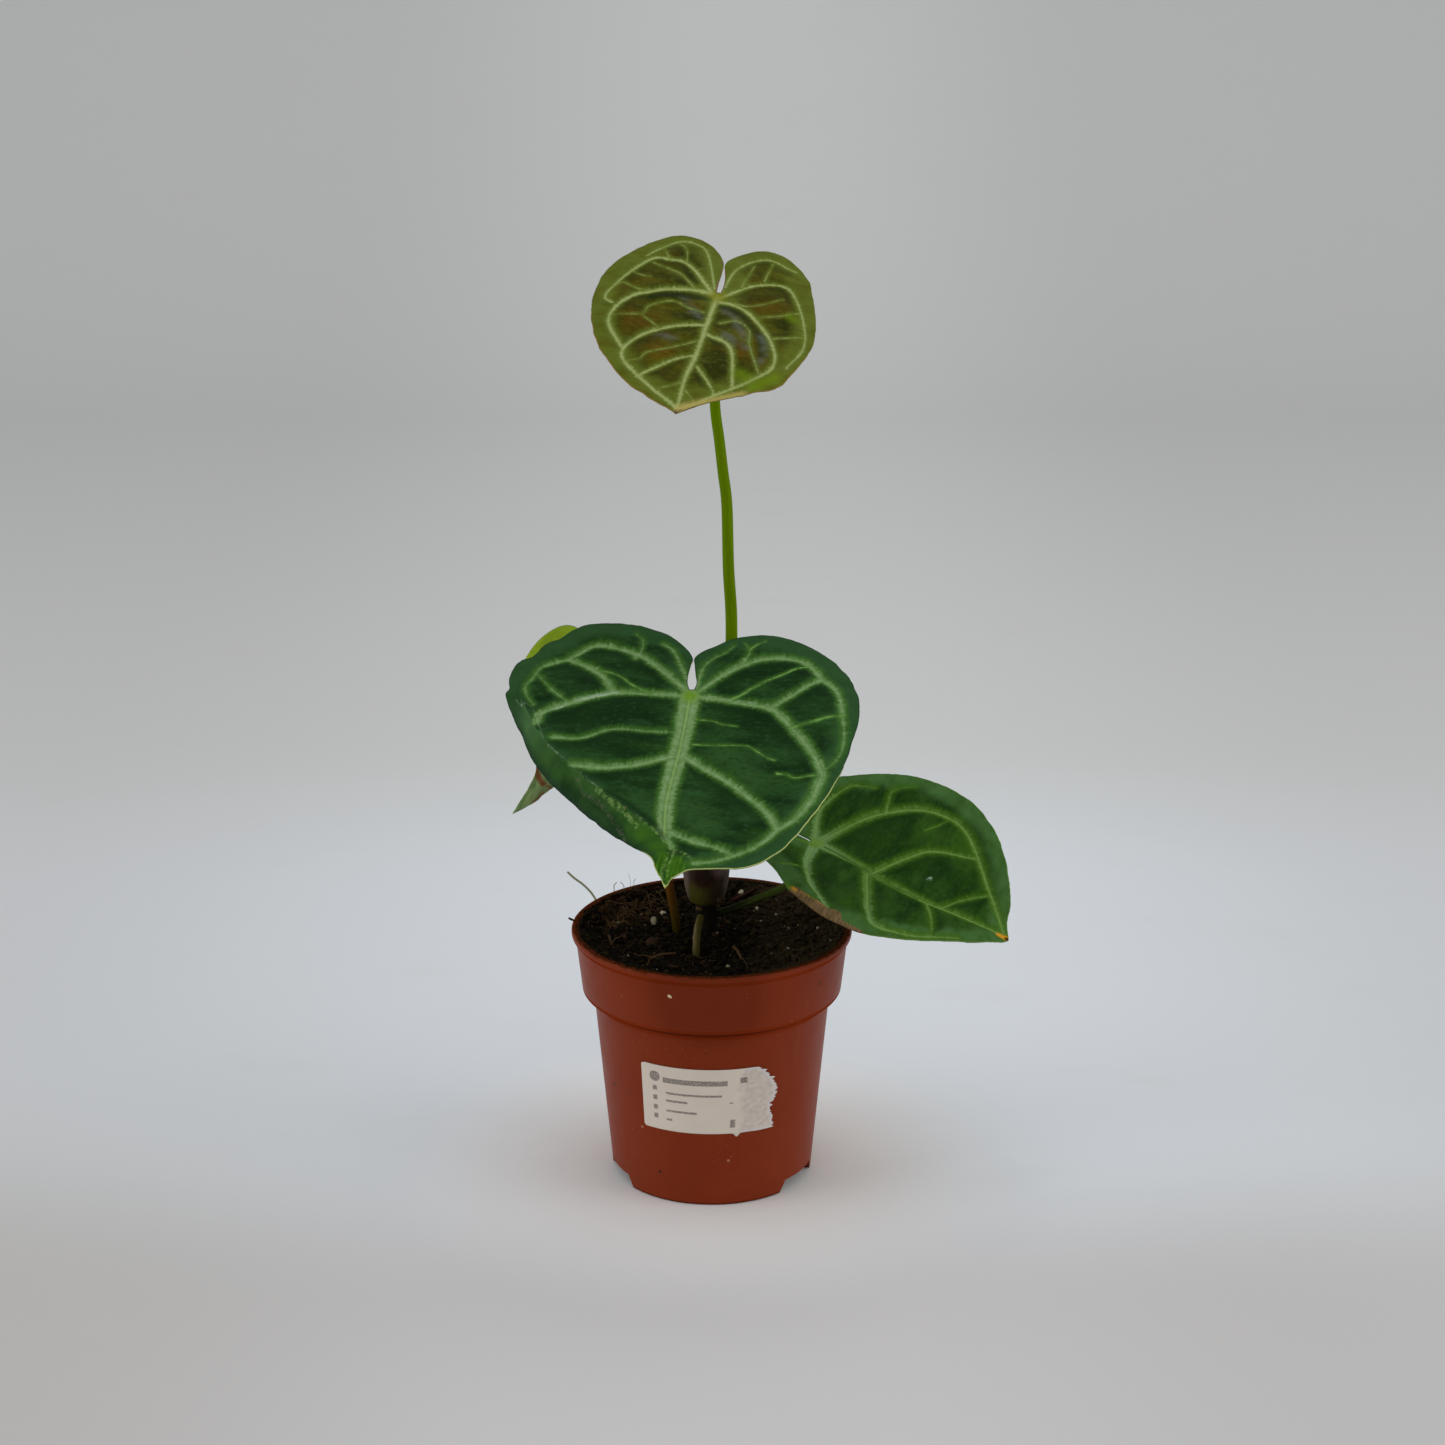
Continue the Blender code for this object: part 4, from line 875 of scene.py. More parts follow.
def make_stage():
    """A pale floor that curves up far behind the plant into a wall. Its sizes here are in metres."""
    half_width, front_half_width, front, bend_start, bend_radius, top = 3.0, 9.0, -9.0, 1.6, 0.8, 3.2
    profile = [(front, 0.0), (bend_start, 0.0)]
    for k in range(1, 13):
        turn = math.radians(90) * k / 12
        profile.append((bend_start + bend_radius * math.sin(turn), bend_radius * (1 - math.cos(turn))))
    profile.append((bend_start + bend_radius, top))
    points = []
    for y, z in profile:
        reach = front_half_width if y == front else half_width
        points += [(-reach, y, z - STAGE_DROP), (reach, y, z - STAGE_DROP)]
    faces = [(2 * k, 2 * k + 1, 2 * k + 3, 2 * k + 2) for k in range(len(profile) - 1)]
    finish = Finish("backdrop", roughness=0.75, specular=0.2)
    where = finish.place()
    across, away, _ = where.parts()
    finish.base(away.rise(330, 620), (0.83, 0.86, 0.90, 1), (0.74, 0.74, 0.72, 1))
    # Painted shade: the floor and wall darken toward the front and toward both sides, most on the left,
    # standing in for the light's fall-off.
    finish.coat((0.68, 0.655, 0.655, 1), away.rise(0, -140))
    finish.coat((0.55, 0.525, 0.505, 1), abs(across).rise(50, 260) * away.rise(40, -110), 0.5)
    finish.coat((0.60, 0.59, 0.58, 1), across.rise(20, -420), 0.65)
    finish.coat((0.53, 0.505, 0.48, 1), across.rise(-80, -330) * away.rise(120, -120), 0.55)
    finish.coat((0.60, 0.59, 0.58, 1), across.rise(60, 440), 0.6)
    # Painted light: a paler pool round the pot's foot that lifts its shadow on the floor.
    finish.coat((0.93, 0.90, 0.88, 1), where.flat().length().rise(150, 48))
    finish.coat((0.62, 0.60, 0.56, 1), where.grain((90, 60, 50), 3).rise(0.55, 0.8), 0.12)
    new_object("backdrop", mesh_from("backdrop", np.array(points) / MM, faces), finish)


def body_radius(z):
    return BASE_RADIUS + (BODY_TOP_RADIUS - BASE_RADIUS) * z / BAND_FOOT_Z


def inner_radius(z):
    """The inside of the pot's wall, under the band and inside it."""
    if z < BAND_FOOT_Z:
        return body_radius(z) - WALL
    inside_foot = BAND_FOOT_RADIUS - BAND_WALL
    return inside_foot + (BAND_TOP_RADIUS - BAND_FOOT_RADIUS) * (z - BAND_FOOT_Z) / (POT_HEIGHT - BAND_FOOT_Z)


def rounded(corners, most):
    """A profile with each inner corner replaced by an arc-like curve through four points."""
    corners = np.array(corners, float)
    found = [corners[0]]
    for before, corner, after in zip(corners, corners[1:], corners[2:]):
        back, ahead = before - corner, after - corner
        reach = min(most, 0.45 * np.linalg.norm(back), 0.45 * np.linalg.norm(ahead))
        start = corner + back / np.linalg.norm(back) * reach
        end = corner + ahead / np.linalg.norm(ahead) * reach
        for t in (0, 1 / 3, 2 / 3, 1):
            found.append((1 - t) ** 2 * start + 2 * t * (1 - t) * corner + t ** 2 * end)
    return found + [corners[-1]]


def turned(name, profile, sides):
    """A profile of (radius, height) in mm turned about Z, as an applied mesh object."""
    mesh = bpy.data.meshes.new(name)
    points = [(r * MM, 0, z * MM) for r, z in profile]
    mesh.from_pydata(points, [(k, k + 1) for k in range(len(points) - 1)], [])
    obj = new_object(name, mesh)
    screw = obj.modifiers.new("turn", "SCREW")
    screw.axis = "Z"
    screw.steps = screw.render_steps = sides
    screw.use_merge_vertices = True
    screw.merge_threshold = 1e-6
    return baked(obj)


def pot_corners():
    lip_foot = POT_HEIGHT - LIP_HEIGHT
    floor_top = FLOOR_Z + WALL
    shelf_z = BAND_FOOT_Z + SHELF_HEIGHT
    band_slope = (BAND_TOP_RADIUS - BAND_FOOT_RADIUS) / (lip_foot - shelf_z)
    return [
        (0, floor_top),
        (inner_radius(floor_top), floor_top),
        (body_radius(BAND_FOOT_Z) - WALL, BAND_FOOT_Z + WALL),
        (inner_radius(shelf_z), shelf_z),
        (inner_radius(POT_HEIGHT), POT_HEIGHT),
        (RIM_RADIUS, POT_HEIGHT),
        (RIM_RADIUS, lip_foot),
        (BAND_TOP_RADIUS, lip_foot - 1.8),
        (BAND_FOOT_RADIUS - band_slope, shelf_z - 1.2),
        (BAND_FOOT_RADIUS - 2.6, BAND_FOOT_Z),
        (body_radius(BAND_FOOT_Z), BAND_FOOT_Z),
        (body_radius(0), 0),
        (BASE_RADIUS - FOOT_WIDTH, 0),
        (BASE_RADIUS - FOOT_WIDTH - 0.6, FLOOR_Z),
        (PAD_RADIUS + 0.6, FLOOR_Z),
        (PAD_RADIUS, 0),
        (0, 0),
    ]


def object_of(name, shape):
    """An object with the bmesh's shape, which is freed."""
    mesh = bpy.data.meshes.new(name)
    shape.to_mesh(mesh)
    shape.free()
    return new_object(name, mesh)


def notch_object():
    """A wedge that is narrower at its top, reaching through the wall at the front of the foot."""
    shape = bmesh.new()
    bmesh.ops.create_cube(shape, size=1)
    for vert in shape.verts:
        upper, outer = vert.co.z > 0, vert.co.y < 0
        width = NOTCH_WIDTH * (NOTCH_TOP_SHARE if upper else 1)
        reach = BASE_RADIUS + 2 if outer else BASE_RADIUS - NOTCH_DEPTH
        vert.co = Vector((vert.co.x * width, -reach, NOTCH_HEIGHT if upper else -2)) * MM
    bmesh.ops.recalc_face_normals(shape, faces=shape.faces)
    return object_of("notch", shape)


def drain_object():
    shape = bmesh.new()
    height = (FLOOR_Z + WALL + 3) * MM
    radius = DRAIN_RADIUS * MM
    bmesh.ops.create_cone(shape, cap_ends=True, segments=32, radius1=radius, radius2=radius, depth=height)
    bmesh.ops.translate(shape, verts=shape.verts, vec=(0, 0, height / 2))
    return object_of("drain", shape)


def cut(obj, cutter, place, turn):
    """Takes the cutter's shape out of the object and applies the cut."""
    cutter.location = place
    cutter.rotation_euler.z = turn
    made = obj.modifiers.new("cut", "BOOLEAN")
    made.operation = "DIFFERENCE"
    made.object = cutter
    bpy.context.view_layer.update()
    baked(obj)


def pot_finish():
    """Satin terracotta plastic with faint flow marks, dust and a few specks, and painted shade: the leaves'
    shadow on the band's front, the groove under the band, the line along the foot and the inside wall above
    the soil.
    """
    finish = Finish("pot_plastic", roughness=0.42, specular=0.07)
    where = finish.place()
    height = where.parts()[2]
    finish.base(where.grain(26, 4), (105, 37, 13), (118, 45, 19))
    finish.coat((120, 58, 34), where.grain((7, 7, 50), 3).rise(0.55, 0.85), 0.3)
    # Painted shadow of the leaves on the front of the band.
    finish.coat((86, 28, 9), where.away((-2, -57, 101)).rise(34, 18), 0.5)
    # Painted shade in the groove under the band.
    under_band = abs(height - BAND_FOOT_Z)
    finish.coat((58, 18, 8), under_band.rise(2.2, 0.4), 0.85)
    # Painted shade: a dark line along the foot, where it meets the floor.
    foot = height.rise(1.4, 0.3)
    finish.coat((50, 24, 16), foot, 0.6)
    dust = where.grain(0.9, 1).rise(0.70, 0.76) * where.grain(18, 2).rise(0.45, 0.7)
    finish.coat((150, 112, 90), dust, 0.45)
    finish.coat((58, 24, 12), where.grain(1.3, 2).rise(0.72, 0.77), 0.55)
    from_axis = where.flat().length()
    # The rim's top face and its inner edge are painted darker and duller.
    rim_top_darker = height.rise(108.9, 110.4) * (from_axis + where.swing(4, 2.4, 3)).rise(60.2, 59.0)
    finish.coat((62, 30, 13), rim_top_darker, 0.8)
    # Painted shade on the inside wall above the soil.
    inner = height.rise(96, 103) * (from_axis + height * -INSIDE_SLOPE).rise(47.75, 47.45)
    finish.coat((34, 20, 11), inner, 0.9)
    for angle, up, radius, paint in POT_SPECKS:
        on_wall = BAND_FOOT_RADIUS + BAND_SLOPE * (up - BAND_FOOT_Z) if up > BAND_FOOT_Z else body_radius(up)
        x, y = polar(on_wall, math.radians(angle - 90))
        finish.coat(paint, where.away((x, y, up)).rise(radius + 0.3, radius - 0.1))
    under_lip = abs(height - (POT_HEIGHT - LIP_HEIGHT - 0.9))
    dull = rim_top_darker | inner | (under_band.rise(3.6, 2.4) | under_lip.rise(1.6, 1.0) | foot)
    finish.put("Specular IOR Level", dull.rise(0.9, 0.1) * 0.07)
    finish.put("Roughness", where.swing(9, 0.16, 3) + 0.40)
    finish.bump(where.grain((2.5, 2.5, 5), 4), depth=0.03)
    return finish


def make_pot():
    pot = turned("pot_shell", rounded(pot_corners(), EDGE_RADIUS), POT_SIDES)
    notch, drain = notch_object(), drain_object()
    for angle in NOTCH_ANGLES:
        cut(pot, notch, (0, 0, 0), math.radians(angle))
    for number in range(DRAIN_COUNT):
        x, y = polar(DRAIN_CIRCLE * MM, math.tau * number / DRAIN_COUNT + DRAIN_START)
        cut(pot, drain, (x, y, 0), 0)
    for cutter in (notch, drain):
        bpy.data.objects.remove(cutter, do_unlink=True)
    pot.data.shade_smooth()
    pot.data.set_sharp_from_angle(angle=math.radians(40))
    pot.data.materials.clear()
    pot.data.materials.append(pot_finish().material)
    settle(pot, "pot", "pot")


def label_finish():
    """Off-white paper with plain short grey bars, its right side rubbed and torn."""
    finish = Finish("label_paper", roughness=0.62, specular=0.10)
    sheet = finish.vector("sheet")
    across, up, _ = sheet.parts()
    torn = (across + sheet.swing(5, 14, 4)).rise(10.5, 15)
    rubs = sheet.grain((2.6, 1.8, 1), 4)
    finish.base(sheet.grain(12, 3), (186, 174, 161), (198, 188, 175))
    finish.coat(finish.mix(rubs.rise(0.3, 0.75), (172, 161, 152), (188, 177, 168)), torn)
    ink = []
    for middle, half_width, height, half_height in LABEL_BARS:
        beside = abs(across - middle).rise(half_width + 0.15, half_width - 0.15)
        ink.append(beside * abs(up - height).rise(half_height + 0.15, half_height - 0.15))
    dot_across, dot_up, dot_radius = LABEL_DOT
    ink.append(sheet.away((dot_across, dot_up, 0)).rise(dot_radius + 0.2, dot_radius - 0.2))
    finish.coat((62, 56, 54), reduce(Field.__or__, ink) * sheet.grain(0.6, 2).rise(0.25, 0.5), 0.72)
    finish.coat((186, 180, 176), finish.number("edge").rise(1.6, 0.2) * torn)
    finish.bump(torn * rubs, depth=0.05)
    return finish


def make_label():
    """A sheet cut to its outline in (distance round the pot, height), then wrapped round the front."""
    per_degree = math.tau * body_radius(50) / 360
    draw = random.Random(SEED)
    torn = smooth_path(LABEL_TORN_EDGE, 0.35)
    for point in torn[1:-1]:
        point[0] += 2.0 * noise.noise(Vector((0, point[1] / 1.1, 4))) + draw.uniform(-0.6, 0.6)
    lower = [(angle, LABEL_FOOT_Z - LABEL_FLAKE * math.exp(-((angle - 13) / 1.3) ** 2))
             for angle in np.arange(LABEL_LEFT + 0.4, LABEL_FOOT_RIGHT, LABEL_STEP)]
    upper = [(angle, LABEL_TOP_Z) for angle in np.arange(LABEL_TOP_RIGHT, LABEL_LEFT + 1, -LABEL_STEP)]
    left = [(LABEL_LEFT - (LABEL_TOP_Z - z) * 0.02, z)
            for z in np.arange(LABEL_TOP_Z - LABEL_STEP, LABEL_FOOT_Z + 0.6, -LABEL_STEP)]
    outline = np.array([*lower, *map(tuple, torn), *upper, *left])
    outline[:, 0] *= per_degree
    flat, faces = triangulate(outline, [], LABEL_STEP)
    edge = edge_distance(flat, outline)
    angle = np.radians(flat[:, 0] / per_degree)
    lift = LABEL_GAP + LABEL_THICKNESS + 0.25 * np.clip(1 - edge / 2.5, 0, 1) * (flat[:, 0] > 18)
    radius = body_radius(flat[:, 1]) + lift
    points = np.stack([radius * np.sin(angle), -radius * np.cos(angle), flat[:, 1]], -1)
    sheet = np.column_stack([flat, np.zeros(len(flat))])
    mesh = mesh_from("label_sheet", points, faces, {"edge": edge}, {"sheet": sheet})
    label = new_object("label_sheet", mesh, label_finish())
    thicken(label, LABEL_THICKNESS)
    settle(label, "label", "label")


def soil_base(x, y):
    """The soil's broad shape, in mm: low waves, a dip in front of the stem and a heap along the wall."""
    waves = (
        np.sin(x / 9.3 + 1.0) * np.sin(y / 8.1 + 0.4)
        + 0.6 * np.sin((x + 0.7 * y) / 4.7 + 2.1)
        + 0.5 * np.sin((y - 0.6 * x) / 3.8 + 0.9)
    )
    dip = np.exp(-((x + 6) ** 2 + (y + 18) ** 2) / 12 ** 2)
    to_wall = np.maximum(0, inner_radius(SOIL_Z) - np.hypot(x, y))
    heap = (4.3 + 0.7 * np.sin(np.arctan2(y, x))) * np.exp(-(to_wall / 6) ** 2)
    return SOIL_Z + SOIL_LUMP * (0.5 * waves - 1.3 * dip) + heap


def soil_height(points):
    coarse = 1 - 2 * np.abs(lumps(points, (6.5, 6.5), 1))
    middle = 1 - 2 * np.abs(lumps(points, (2.8, 2.8), 2))
    fine = lumps(points, (1.3, 1.3), 3)
    return soil_base(points[:, 0], points[:, 1]) + 0.9 * (coarse - 0.5) + 0.6 * (middle - 0.5) + 0.5 * fine


def soil_top(x, y):
    return float(soil_height(np.array([[x, y]]))[0])


def soil_light_and_heap(finish, where):
    """Paler soil toward the right, painted light that offsets the right leaf's shadow, and a browner heap at
    the back left.
    """
    # Painted light: paler soil on the right, under the right leaf's shadow.
    finish.coat((62, 50, 34), where.parts()[0].rise(6, 34), 0.45)
    heap = where.away((-36, 36, 108)).rise(26, 10) * where.grain(6, 3).rise(0.4, 0.6)
    finish.coat((66, 48, 29), heap, 0.6)


def soil_finish():
    finish = Finish("soil_mix", roughness=0.95, specular=0.05)
    where = finish.place()
    finish.base(where.grain(2.2, 5).rise(0.35, 0.7), (8, 6, 4), (30, 22, 13))
    finish.coat((70, 54, 34), where.grain(1.0, 2).rise(0.66, 0.72), 0.7)
    soil_light_and_heap(finish, where)
    finish.bump(where.grain(0.8, 4), depth=0.4)
    return finish


def make_soil():
    edge_radius = inner_radius(SOIL_Z) - SOIL_CLEARANCE
    sides = int(math.tau * edge_radius / SOIL_STEP)
    turns = np.arange(sides) * math.tau / sides
    circle = np.column_stack([np.cos(turns), np.sin(turns)])
    flat, faces = triangulate(circle * edge_radius, [], SOIL_STEP)
    foot_z, in_band_z = FLOOR_Z + WALL + 0.3, 93
    below = (
        (inner_radius(in_band_z) - SOIL_CLEARANCE, in_band_z),
        (body_radius(BAND_FOOT_Z) - WALL - 1.5 * SOIL_CLEARANCE, BAND_FOOT_Z),
        (inner_radius(2 * foot_z) - SOIL_CLEARANCE, 2 * foot_z),
        (inner_radius(foot_z) - 3.6, foot_z),
    )
    points, faces = [np.column_stack([flat, soil_height(flat)])], list(map(tuple, faces))
    upper = np.arange(sides)
    count = len(flat)
    for radius, height in below:
        points.append(np.column_stack([circle * radius, np.full(sides, height)]))
        lower = np.arange(count, count + sides)
        faces += zip(upper, lower, np.roll(lower, -1), np.roll(upper, -1))
        upper = lower
        count += sides
    faces.append(tuple(upper[::-1]))
    mesh = mesh_from("soil_body", np.vstack(points), faces)
    settle(new_object("soil_body", mesh, soil_finish()), "soil", "soil")


def random_place(draw, margin):
    """A place on the soil, at least the margin away from the wall."""
    reach = inner_radius(SOIL_Z) - margin
    return polar(reach * math.sqrt(draw.random()), draw.uniform(0, math.tau))


def heap_place(draw, near, far):
    """A distance from the pot's axis and a bearing on the heap."""
    turn = math.radians(draw.uniform(*HEAP_BEARINGS))
    return draw.uniform(near, far), turn


def crumb_at(draw, x, y, sink, size, width, height):
    """A crumb on the soil. Its width and height are drawn from these shares of its size."""
    z = soil_top(x, y) + sink * size
    return x, y, z, size, size * draw.uniform(*width), size * draw.uniform(*height), draw.uniform(0, math.tau)


def make_crumbs():
    draw = random.Random(SEED)
    fine, coarse = [], []
    for _ in range(FINE_CRUMBS):
        x, y = random_place(draw, 1.6)
        size = 0.7 + 1.5 * draw.random() ** 2
        fine.append(crumb_at(draw, x, y, 0.2, size, (0.6, 1), (0.5, 0.9)))
    for _ in range(COARSE_CRUMBS):
        x, y = random_place(draw, 3.2)
        coarse.append(crumb_at(draw, x, y, 0.12, draw.uniform(2.0, 4.2), (0.6, 0.9), (0.45, 0.7)))
    chip_places = list(BARK_CHIPS)
    for _ in range(LOOSE_CHIPS):
        chip_places.append((*random_place(draw, 5), draw.uniform(2.5, 5.5), draw.uniform(1.2, 2.6)))
    chips = [(x, y, soil_top(x, y) + 0.5, length, width, draw.uniform(0.9, 1.8), draw.uniform(0, math.tau))
             for x, y, length, width in chip_places]
    for _ in range(RIM_CRUMBS):
        turn, size = draw.uniform(0, math.tau), draw.uniform(0.5, 1.7)
        x, y = polar(55.6 + 3.2 * draw.random() ** 1.5, turn)
        fine.append((x, y, POT_HEIGHT - 0.1 * size, size, size * 0.8, size * 0.6, draw.uniform(0, math.tau)))
    fine.append(RIM_SCRAP)
    for _ in range(HEAP_CRUMBS):
        r, turn = heap_place(draw, 45, 53.5)
        x, y = polar(r, turn)
        size = draw.uniform(0.8, 2.4)
        z = soil_top(x, y) + draw.uniform(0, 0.4) * (r - 44)
        fine.append((x, y, z, size, size * 0.8, size * 0.7, turn))

    crumb = Finish("crumbs", roughness=0.95, specular=0.05)
    shade, where = crumb.number("shade"), crumb.place()
    color = crumb.mix(shade.rise(0.2, 0.95), (10, 8, 4), (38, 30, 16))
    crumb.base(where.grain(0.6, 3), crumb.mix(shade.rise(0.93, 0.97), color, (62, 46, 28)), (14, 10, 7))
    soil_light_and_heap(crumb, where)
    crumb.bump(where.grain(0.5, 3), depth=0.2)
    scatter("soil_crumbs_fine", fine, crumb, "soil", subdivisions=1, roughness=0.22, seed=SEED)
    scatter("soil_crumbs_coarse", coarse, crumb, "soil", subdivisions=2, roughness=0.16, seed=SEED + 1)

    bark = Finish("bark", roughness=0.85, specular=0.08)
    fibres = bark.place().grain((0.5, 3, 0.5), 3)
    bark.base(fibres, bark.mix(bark.number("shade"), (34, 20, 11), (66, 42, 26)), (24, 14, 8))
    bark.bump(fibres, depth=0.4)
    scatter("bark_chips", chips, bark, "soil", subdivisions=2, roughness=0.2, seed=SEED + 2)


def make_perlite():
    draw = random.Random(SEED + 3)
    grains = []
    for x, y, length, width in PERLITE:
        grains.append((x, y, soil_top(x, y) + 0.6, length, width, width * 0.8, draw.uniform(1.4, 2.1)))
    for _ in range(LOOSE_PERLITE):
        x, y = random_place(draw, 4)
        size = 0.6 + 1.2 * draw.random() ** 2
        grains.append((x, y, soil_top(x, y) + 0.4, size, size * 0.8, size * 0.7, draw.uniform(0, 6)))
    finish = Finish("perlite", roughness=0.8, specular=0.1)
    where = finish.place()
    finish.base(finish.number("shade"), (92, 76, 56), (164, 154, 134))
    finish.coat((96, 76, 50), where.grain(0.8, 3).rise(0.45, 0.7))
    finish.bump(where.grain(0.4, 3), depth=0.2)
    scatter("perlite_grains", grains, finish, "soil", subdivisions=2, roughness=0.14, seed=SEED + 4)


def strand(draw, start, end, sag):
    """A wandering fibre between two places on the soil."""
    start, end = np.array(start, float), np.array(end, float)
    middle = (start + end) / 2 + (draw.uniform(-sag, sag), draw.uniform(-sag, sag))
    return np.array([(x, y, soil_top(x, y) + 0.7) for x, y in smooth_path([start, middle, end], 1.5)])


def loose_fibre(draw, start, longest, margin, sag):
    """A fibre that runs off any way from a place on the soil, or nothing if it would reach the wall."""
    way, length = draw.uniform(0, math.tau), draw.uniform(3, longest)
    end = np.array(start) + polar(length, way)
    if np.linalg.norm(end) > inner_radius(SOIL_Z) - margin:
        return None
    return strand(draw, start, end, sag)


def make_fibres():
    draw = random.Random(SEED + 5)
    parts = [(strand(draw, start, end, 2), radius) for start, end, radius in TWIGS]
    for _ in range(LOOSE_FIBRES):
        path = loose_fibre(draw, random_place(draw, 8), longest=9, margin=2, sag=3)
        if path is not None:
            parts.append((path, draw.uniform(0.1, 0.22)))
    for _ in range(HEAP_FIBRES):
        start = polar(*heap_place(draw, 42, 52.5))
        path = loose_fibre(draw, start, longest=8, margin=1.5, sag=2)
        if path is not None:
            path[:, 2] += draw.uniform(0.5, 2.6) * np.sin(np.linspace(0, np.pi, len(path)))
            parts.append((path, draw.uniform(0.12, 0.3)))
    finish = Finish("fibres", roughness=0.8, specular=0.08)
    finish.base(finish.place().grain(14, 1).rise(0.35, 0.65), (44, 28, 15), (86, 64, 40))
    finish.coat((60, 42, 24), finish.vector("skin").grain((2, 0.3, 0.3), 2))
    settle(tube_object("soil_fibres", parts, finish, sides=5), "soil")


def make_strays():
    """A dark stick behind the stem, and the straw and curls on the rim."""
    stick = Finish("stick", roughness=0.7, specular=0.08)
    stick.base(stick.vector("skin").grain((4, 0.5, 0.5), 3), (34, 14, 9), (56, 26, 18))
    path = smooth_path(STICK, 1.5)
    radii = np.linspace(*STICK_RADII, len(path))
    settle(tube_object("stick", [(path, radii)], stick, sides=10), "soil")

    straw = Finish("straw", roughness=0.6, specular=0.1)
    straw.base(straw.vector("skin").grain((3, 0.3, 0.3), 2), (122, 120, 90), (150, 148, 120))
    parts = [(smooth_path(points, 0.8), radius) for points, radius in LOOSE_STRANDS]
    settle(tube_object("rim_strands", parts, straw, sides=8), "soil")


def stem_finish():
    finish = Finish("stem_bark", roughness=0.75, specular=0.10)
    where = finish.place()
    finish.base(where.grain((3, 3, 1.2), 4), (6, 4, 2), (20, 13, 6))
    finish.coat((44, 40, 12), where.grain(5, 2).rise(0.5, 0.7), 0.25)
    finish.bump(where.grain((2, 2, 0.7), 4), depth=0.5)
    return finish


def make_stem():
    path = smooth_path([(*STEM_AXIS, z) for _, z in STEM_PROFILE], 0.8)
    radii = np.interp(path[:, 2], [z for _, z in STEM_PROFILE], [r for r, _ in STEM_PROFILE])
    points, faces, skin, share = tube(path, radii, sides=48)
    away = (points - (*STEM_AXIS, 0)) * (1, 1, 0)
    knobs = lumps(points, (2.6, 2.6, 1.4), 5)
    away /= np.maximum(np.linalg.norm(away, axis=1), 1e-6)[:, None]
    points = points + away * (0.35 * knobs - 0.1)[:, None]
    scar = Finish("scars", roughness=0.7, specular=0.1)
    scar.base(scar.place().grain(1.0, 3), (34, 22, 10), (74, 54, 32))
    scatter("crown_scars", CROWN_SCARS, scar, "stem", subdivisions=3, roughness=0.06, seed=SEED + 6)
    mesh = mesh_from("stem_core", points, faces, {"share": share}, {"skin": skin})
    settle(new_object("stem_core", mesh, stem_finish()), "stem", "stem")


def sheath_finish():
    """Thin papery sheath: greyish pink at the sides, olive low on the left, dark brown in the middle."""
    finish = Finish("sheath_paper", roughness=0.6, specular=0.10)
    where = finish.place()
    x, _, z = where.parts()
    veins = where.grain((0.7, 0.7, 14), 3)
    blotch = where.swing(5, 6, 3)
    finish.base(veins, (30, 16, 8), (54, 40, 24))
    finish.coat((58, 54, 12), (z + blotch).rise(134, 126) * x.rise(1, -6))
    from_middle = abs(x - STEM_AXIS[0])
    finish.coat((92, 78, 70), (from_middle + blotch * 0.4).rise(6.0, 9.0), 0.75)
    finish.coat((26, 11, 3), where.away((-3.4, -4.0, 134)).rise(6.5, 3.0), 0.85)
    finish.coat((92, 74, 72), where.away((4.2, -2.6, 138)).rise(6.5, 1.5) * veins.rise(0.2, 0.6))
    finish.bump(veins, depth=0.4)
    return finish


def make_sheath():
    rings = smooth_path(SHEATH_PROFILE, 0.7)
    low, high = rings[0][1], rings[-1][1]
    points = []
    for r, z in rings:
        share = (z - low) / (high - low)
        for side in range(SHEATH_SIDES):
            turn = math.tau * side / SHEATH_SIDES
            torn = 2.6 * share ** 3 * (math.sin(2 * turn + 0.6) + 0.4 * math.sin(5 * turn))
            torn += 1.2 * share ** 6 * noise.noise(Vector((*polar(3, turn), 1)))
            wide = 1 + 0.06 * share * math.cos(2 * turn) + 0.02 * share * math.sin(9 * turn)
            wide += 0.035 * noise.noise(Vector((*polar(2, turn), z / 7)))
            x, y = polar(r, turn)
            points.append((x * wide + STEM_AXIS[0], y + STEM_AXIS[1], z + torn))
    mesh = mesh_from("sheath_cup", points, ring_faces(len(rings), SHEATH_SIDES))
    sheath = new_object("sheath_cup", mesh, sheath_finish())
    thicken(sheath, SHEATH_THICKNESS)
    settle(sheath, "sheath", "sheath")


def make_root():
    finish = Finish("root_skin", roughness=0.65, specular=0.05)
    skin, where = finish.vector("skin"), finish.place()
    side = (where.parts()[0] + where.swing(2, 1.5)).rise(-7.3, -5.8)
    finish.base(side, (112, 98, 72), (74, 66, 26))
    finish.coat((60, 64, 6), finish.number("share").rise(0.45, 0.75), 0.7)
    finish.coat((60, 52, 22), skin.grain((2, 0.8, 0.8), 3))
    finish.bump(skin.grain((1.2, 0.6, 0.6), 3), depth=0.2)
    path = smooth_path(ROOT, 0.8)
    radii = ROOT_RADIUS * (1 + 0.05 * np.sin(np.arange(len(path)) * 0.9))
    settle(tube_object("root_tip", [(path, radii)], finish, sides=20), "root", "aerial_root")


def leaf_axes(leaf):
    """Across the blade, along it to the tip, and out of its upper face."""
    azimuth, pitch, roll = (math.radians(leaf[key]) for key in ("azimuth", "pitch", "roll"))
    along = np.array([
        math.sin(azimuth) * math.cos(pitch), -math.cos(azimuth) * math.cos(pitch), -math.sin(pitch)
    ])
    level = np.array([math.cos(azimuth), math.sin(azimuth), 0.0])
    across = math.cos(roll) * level + math.sin(roll) * np.cross(along, level)
    return across, along, np.cross(along, across)


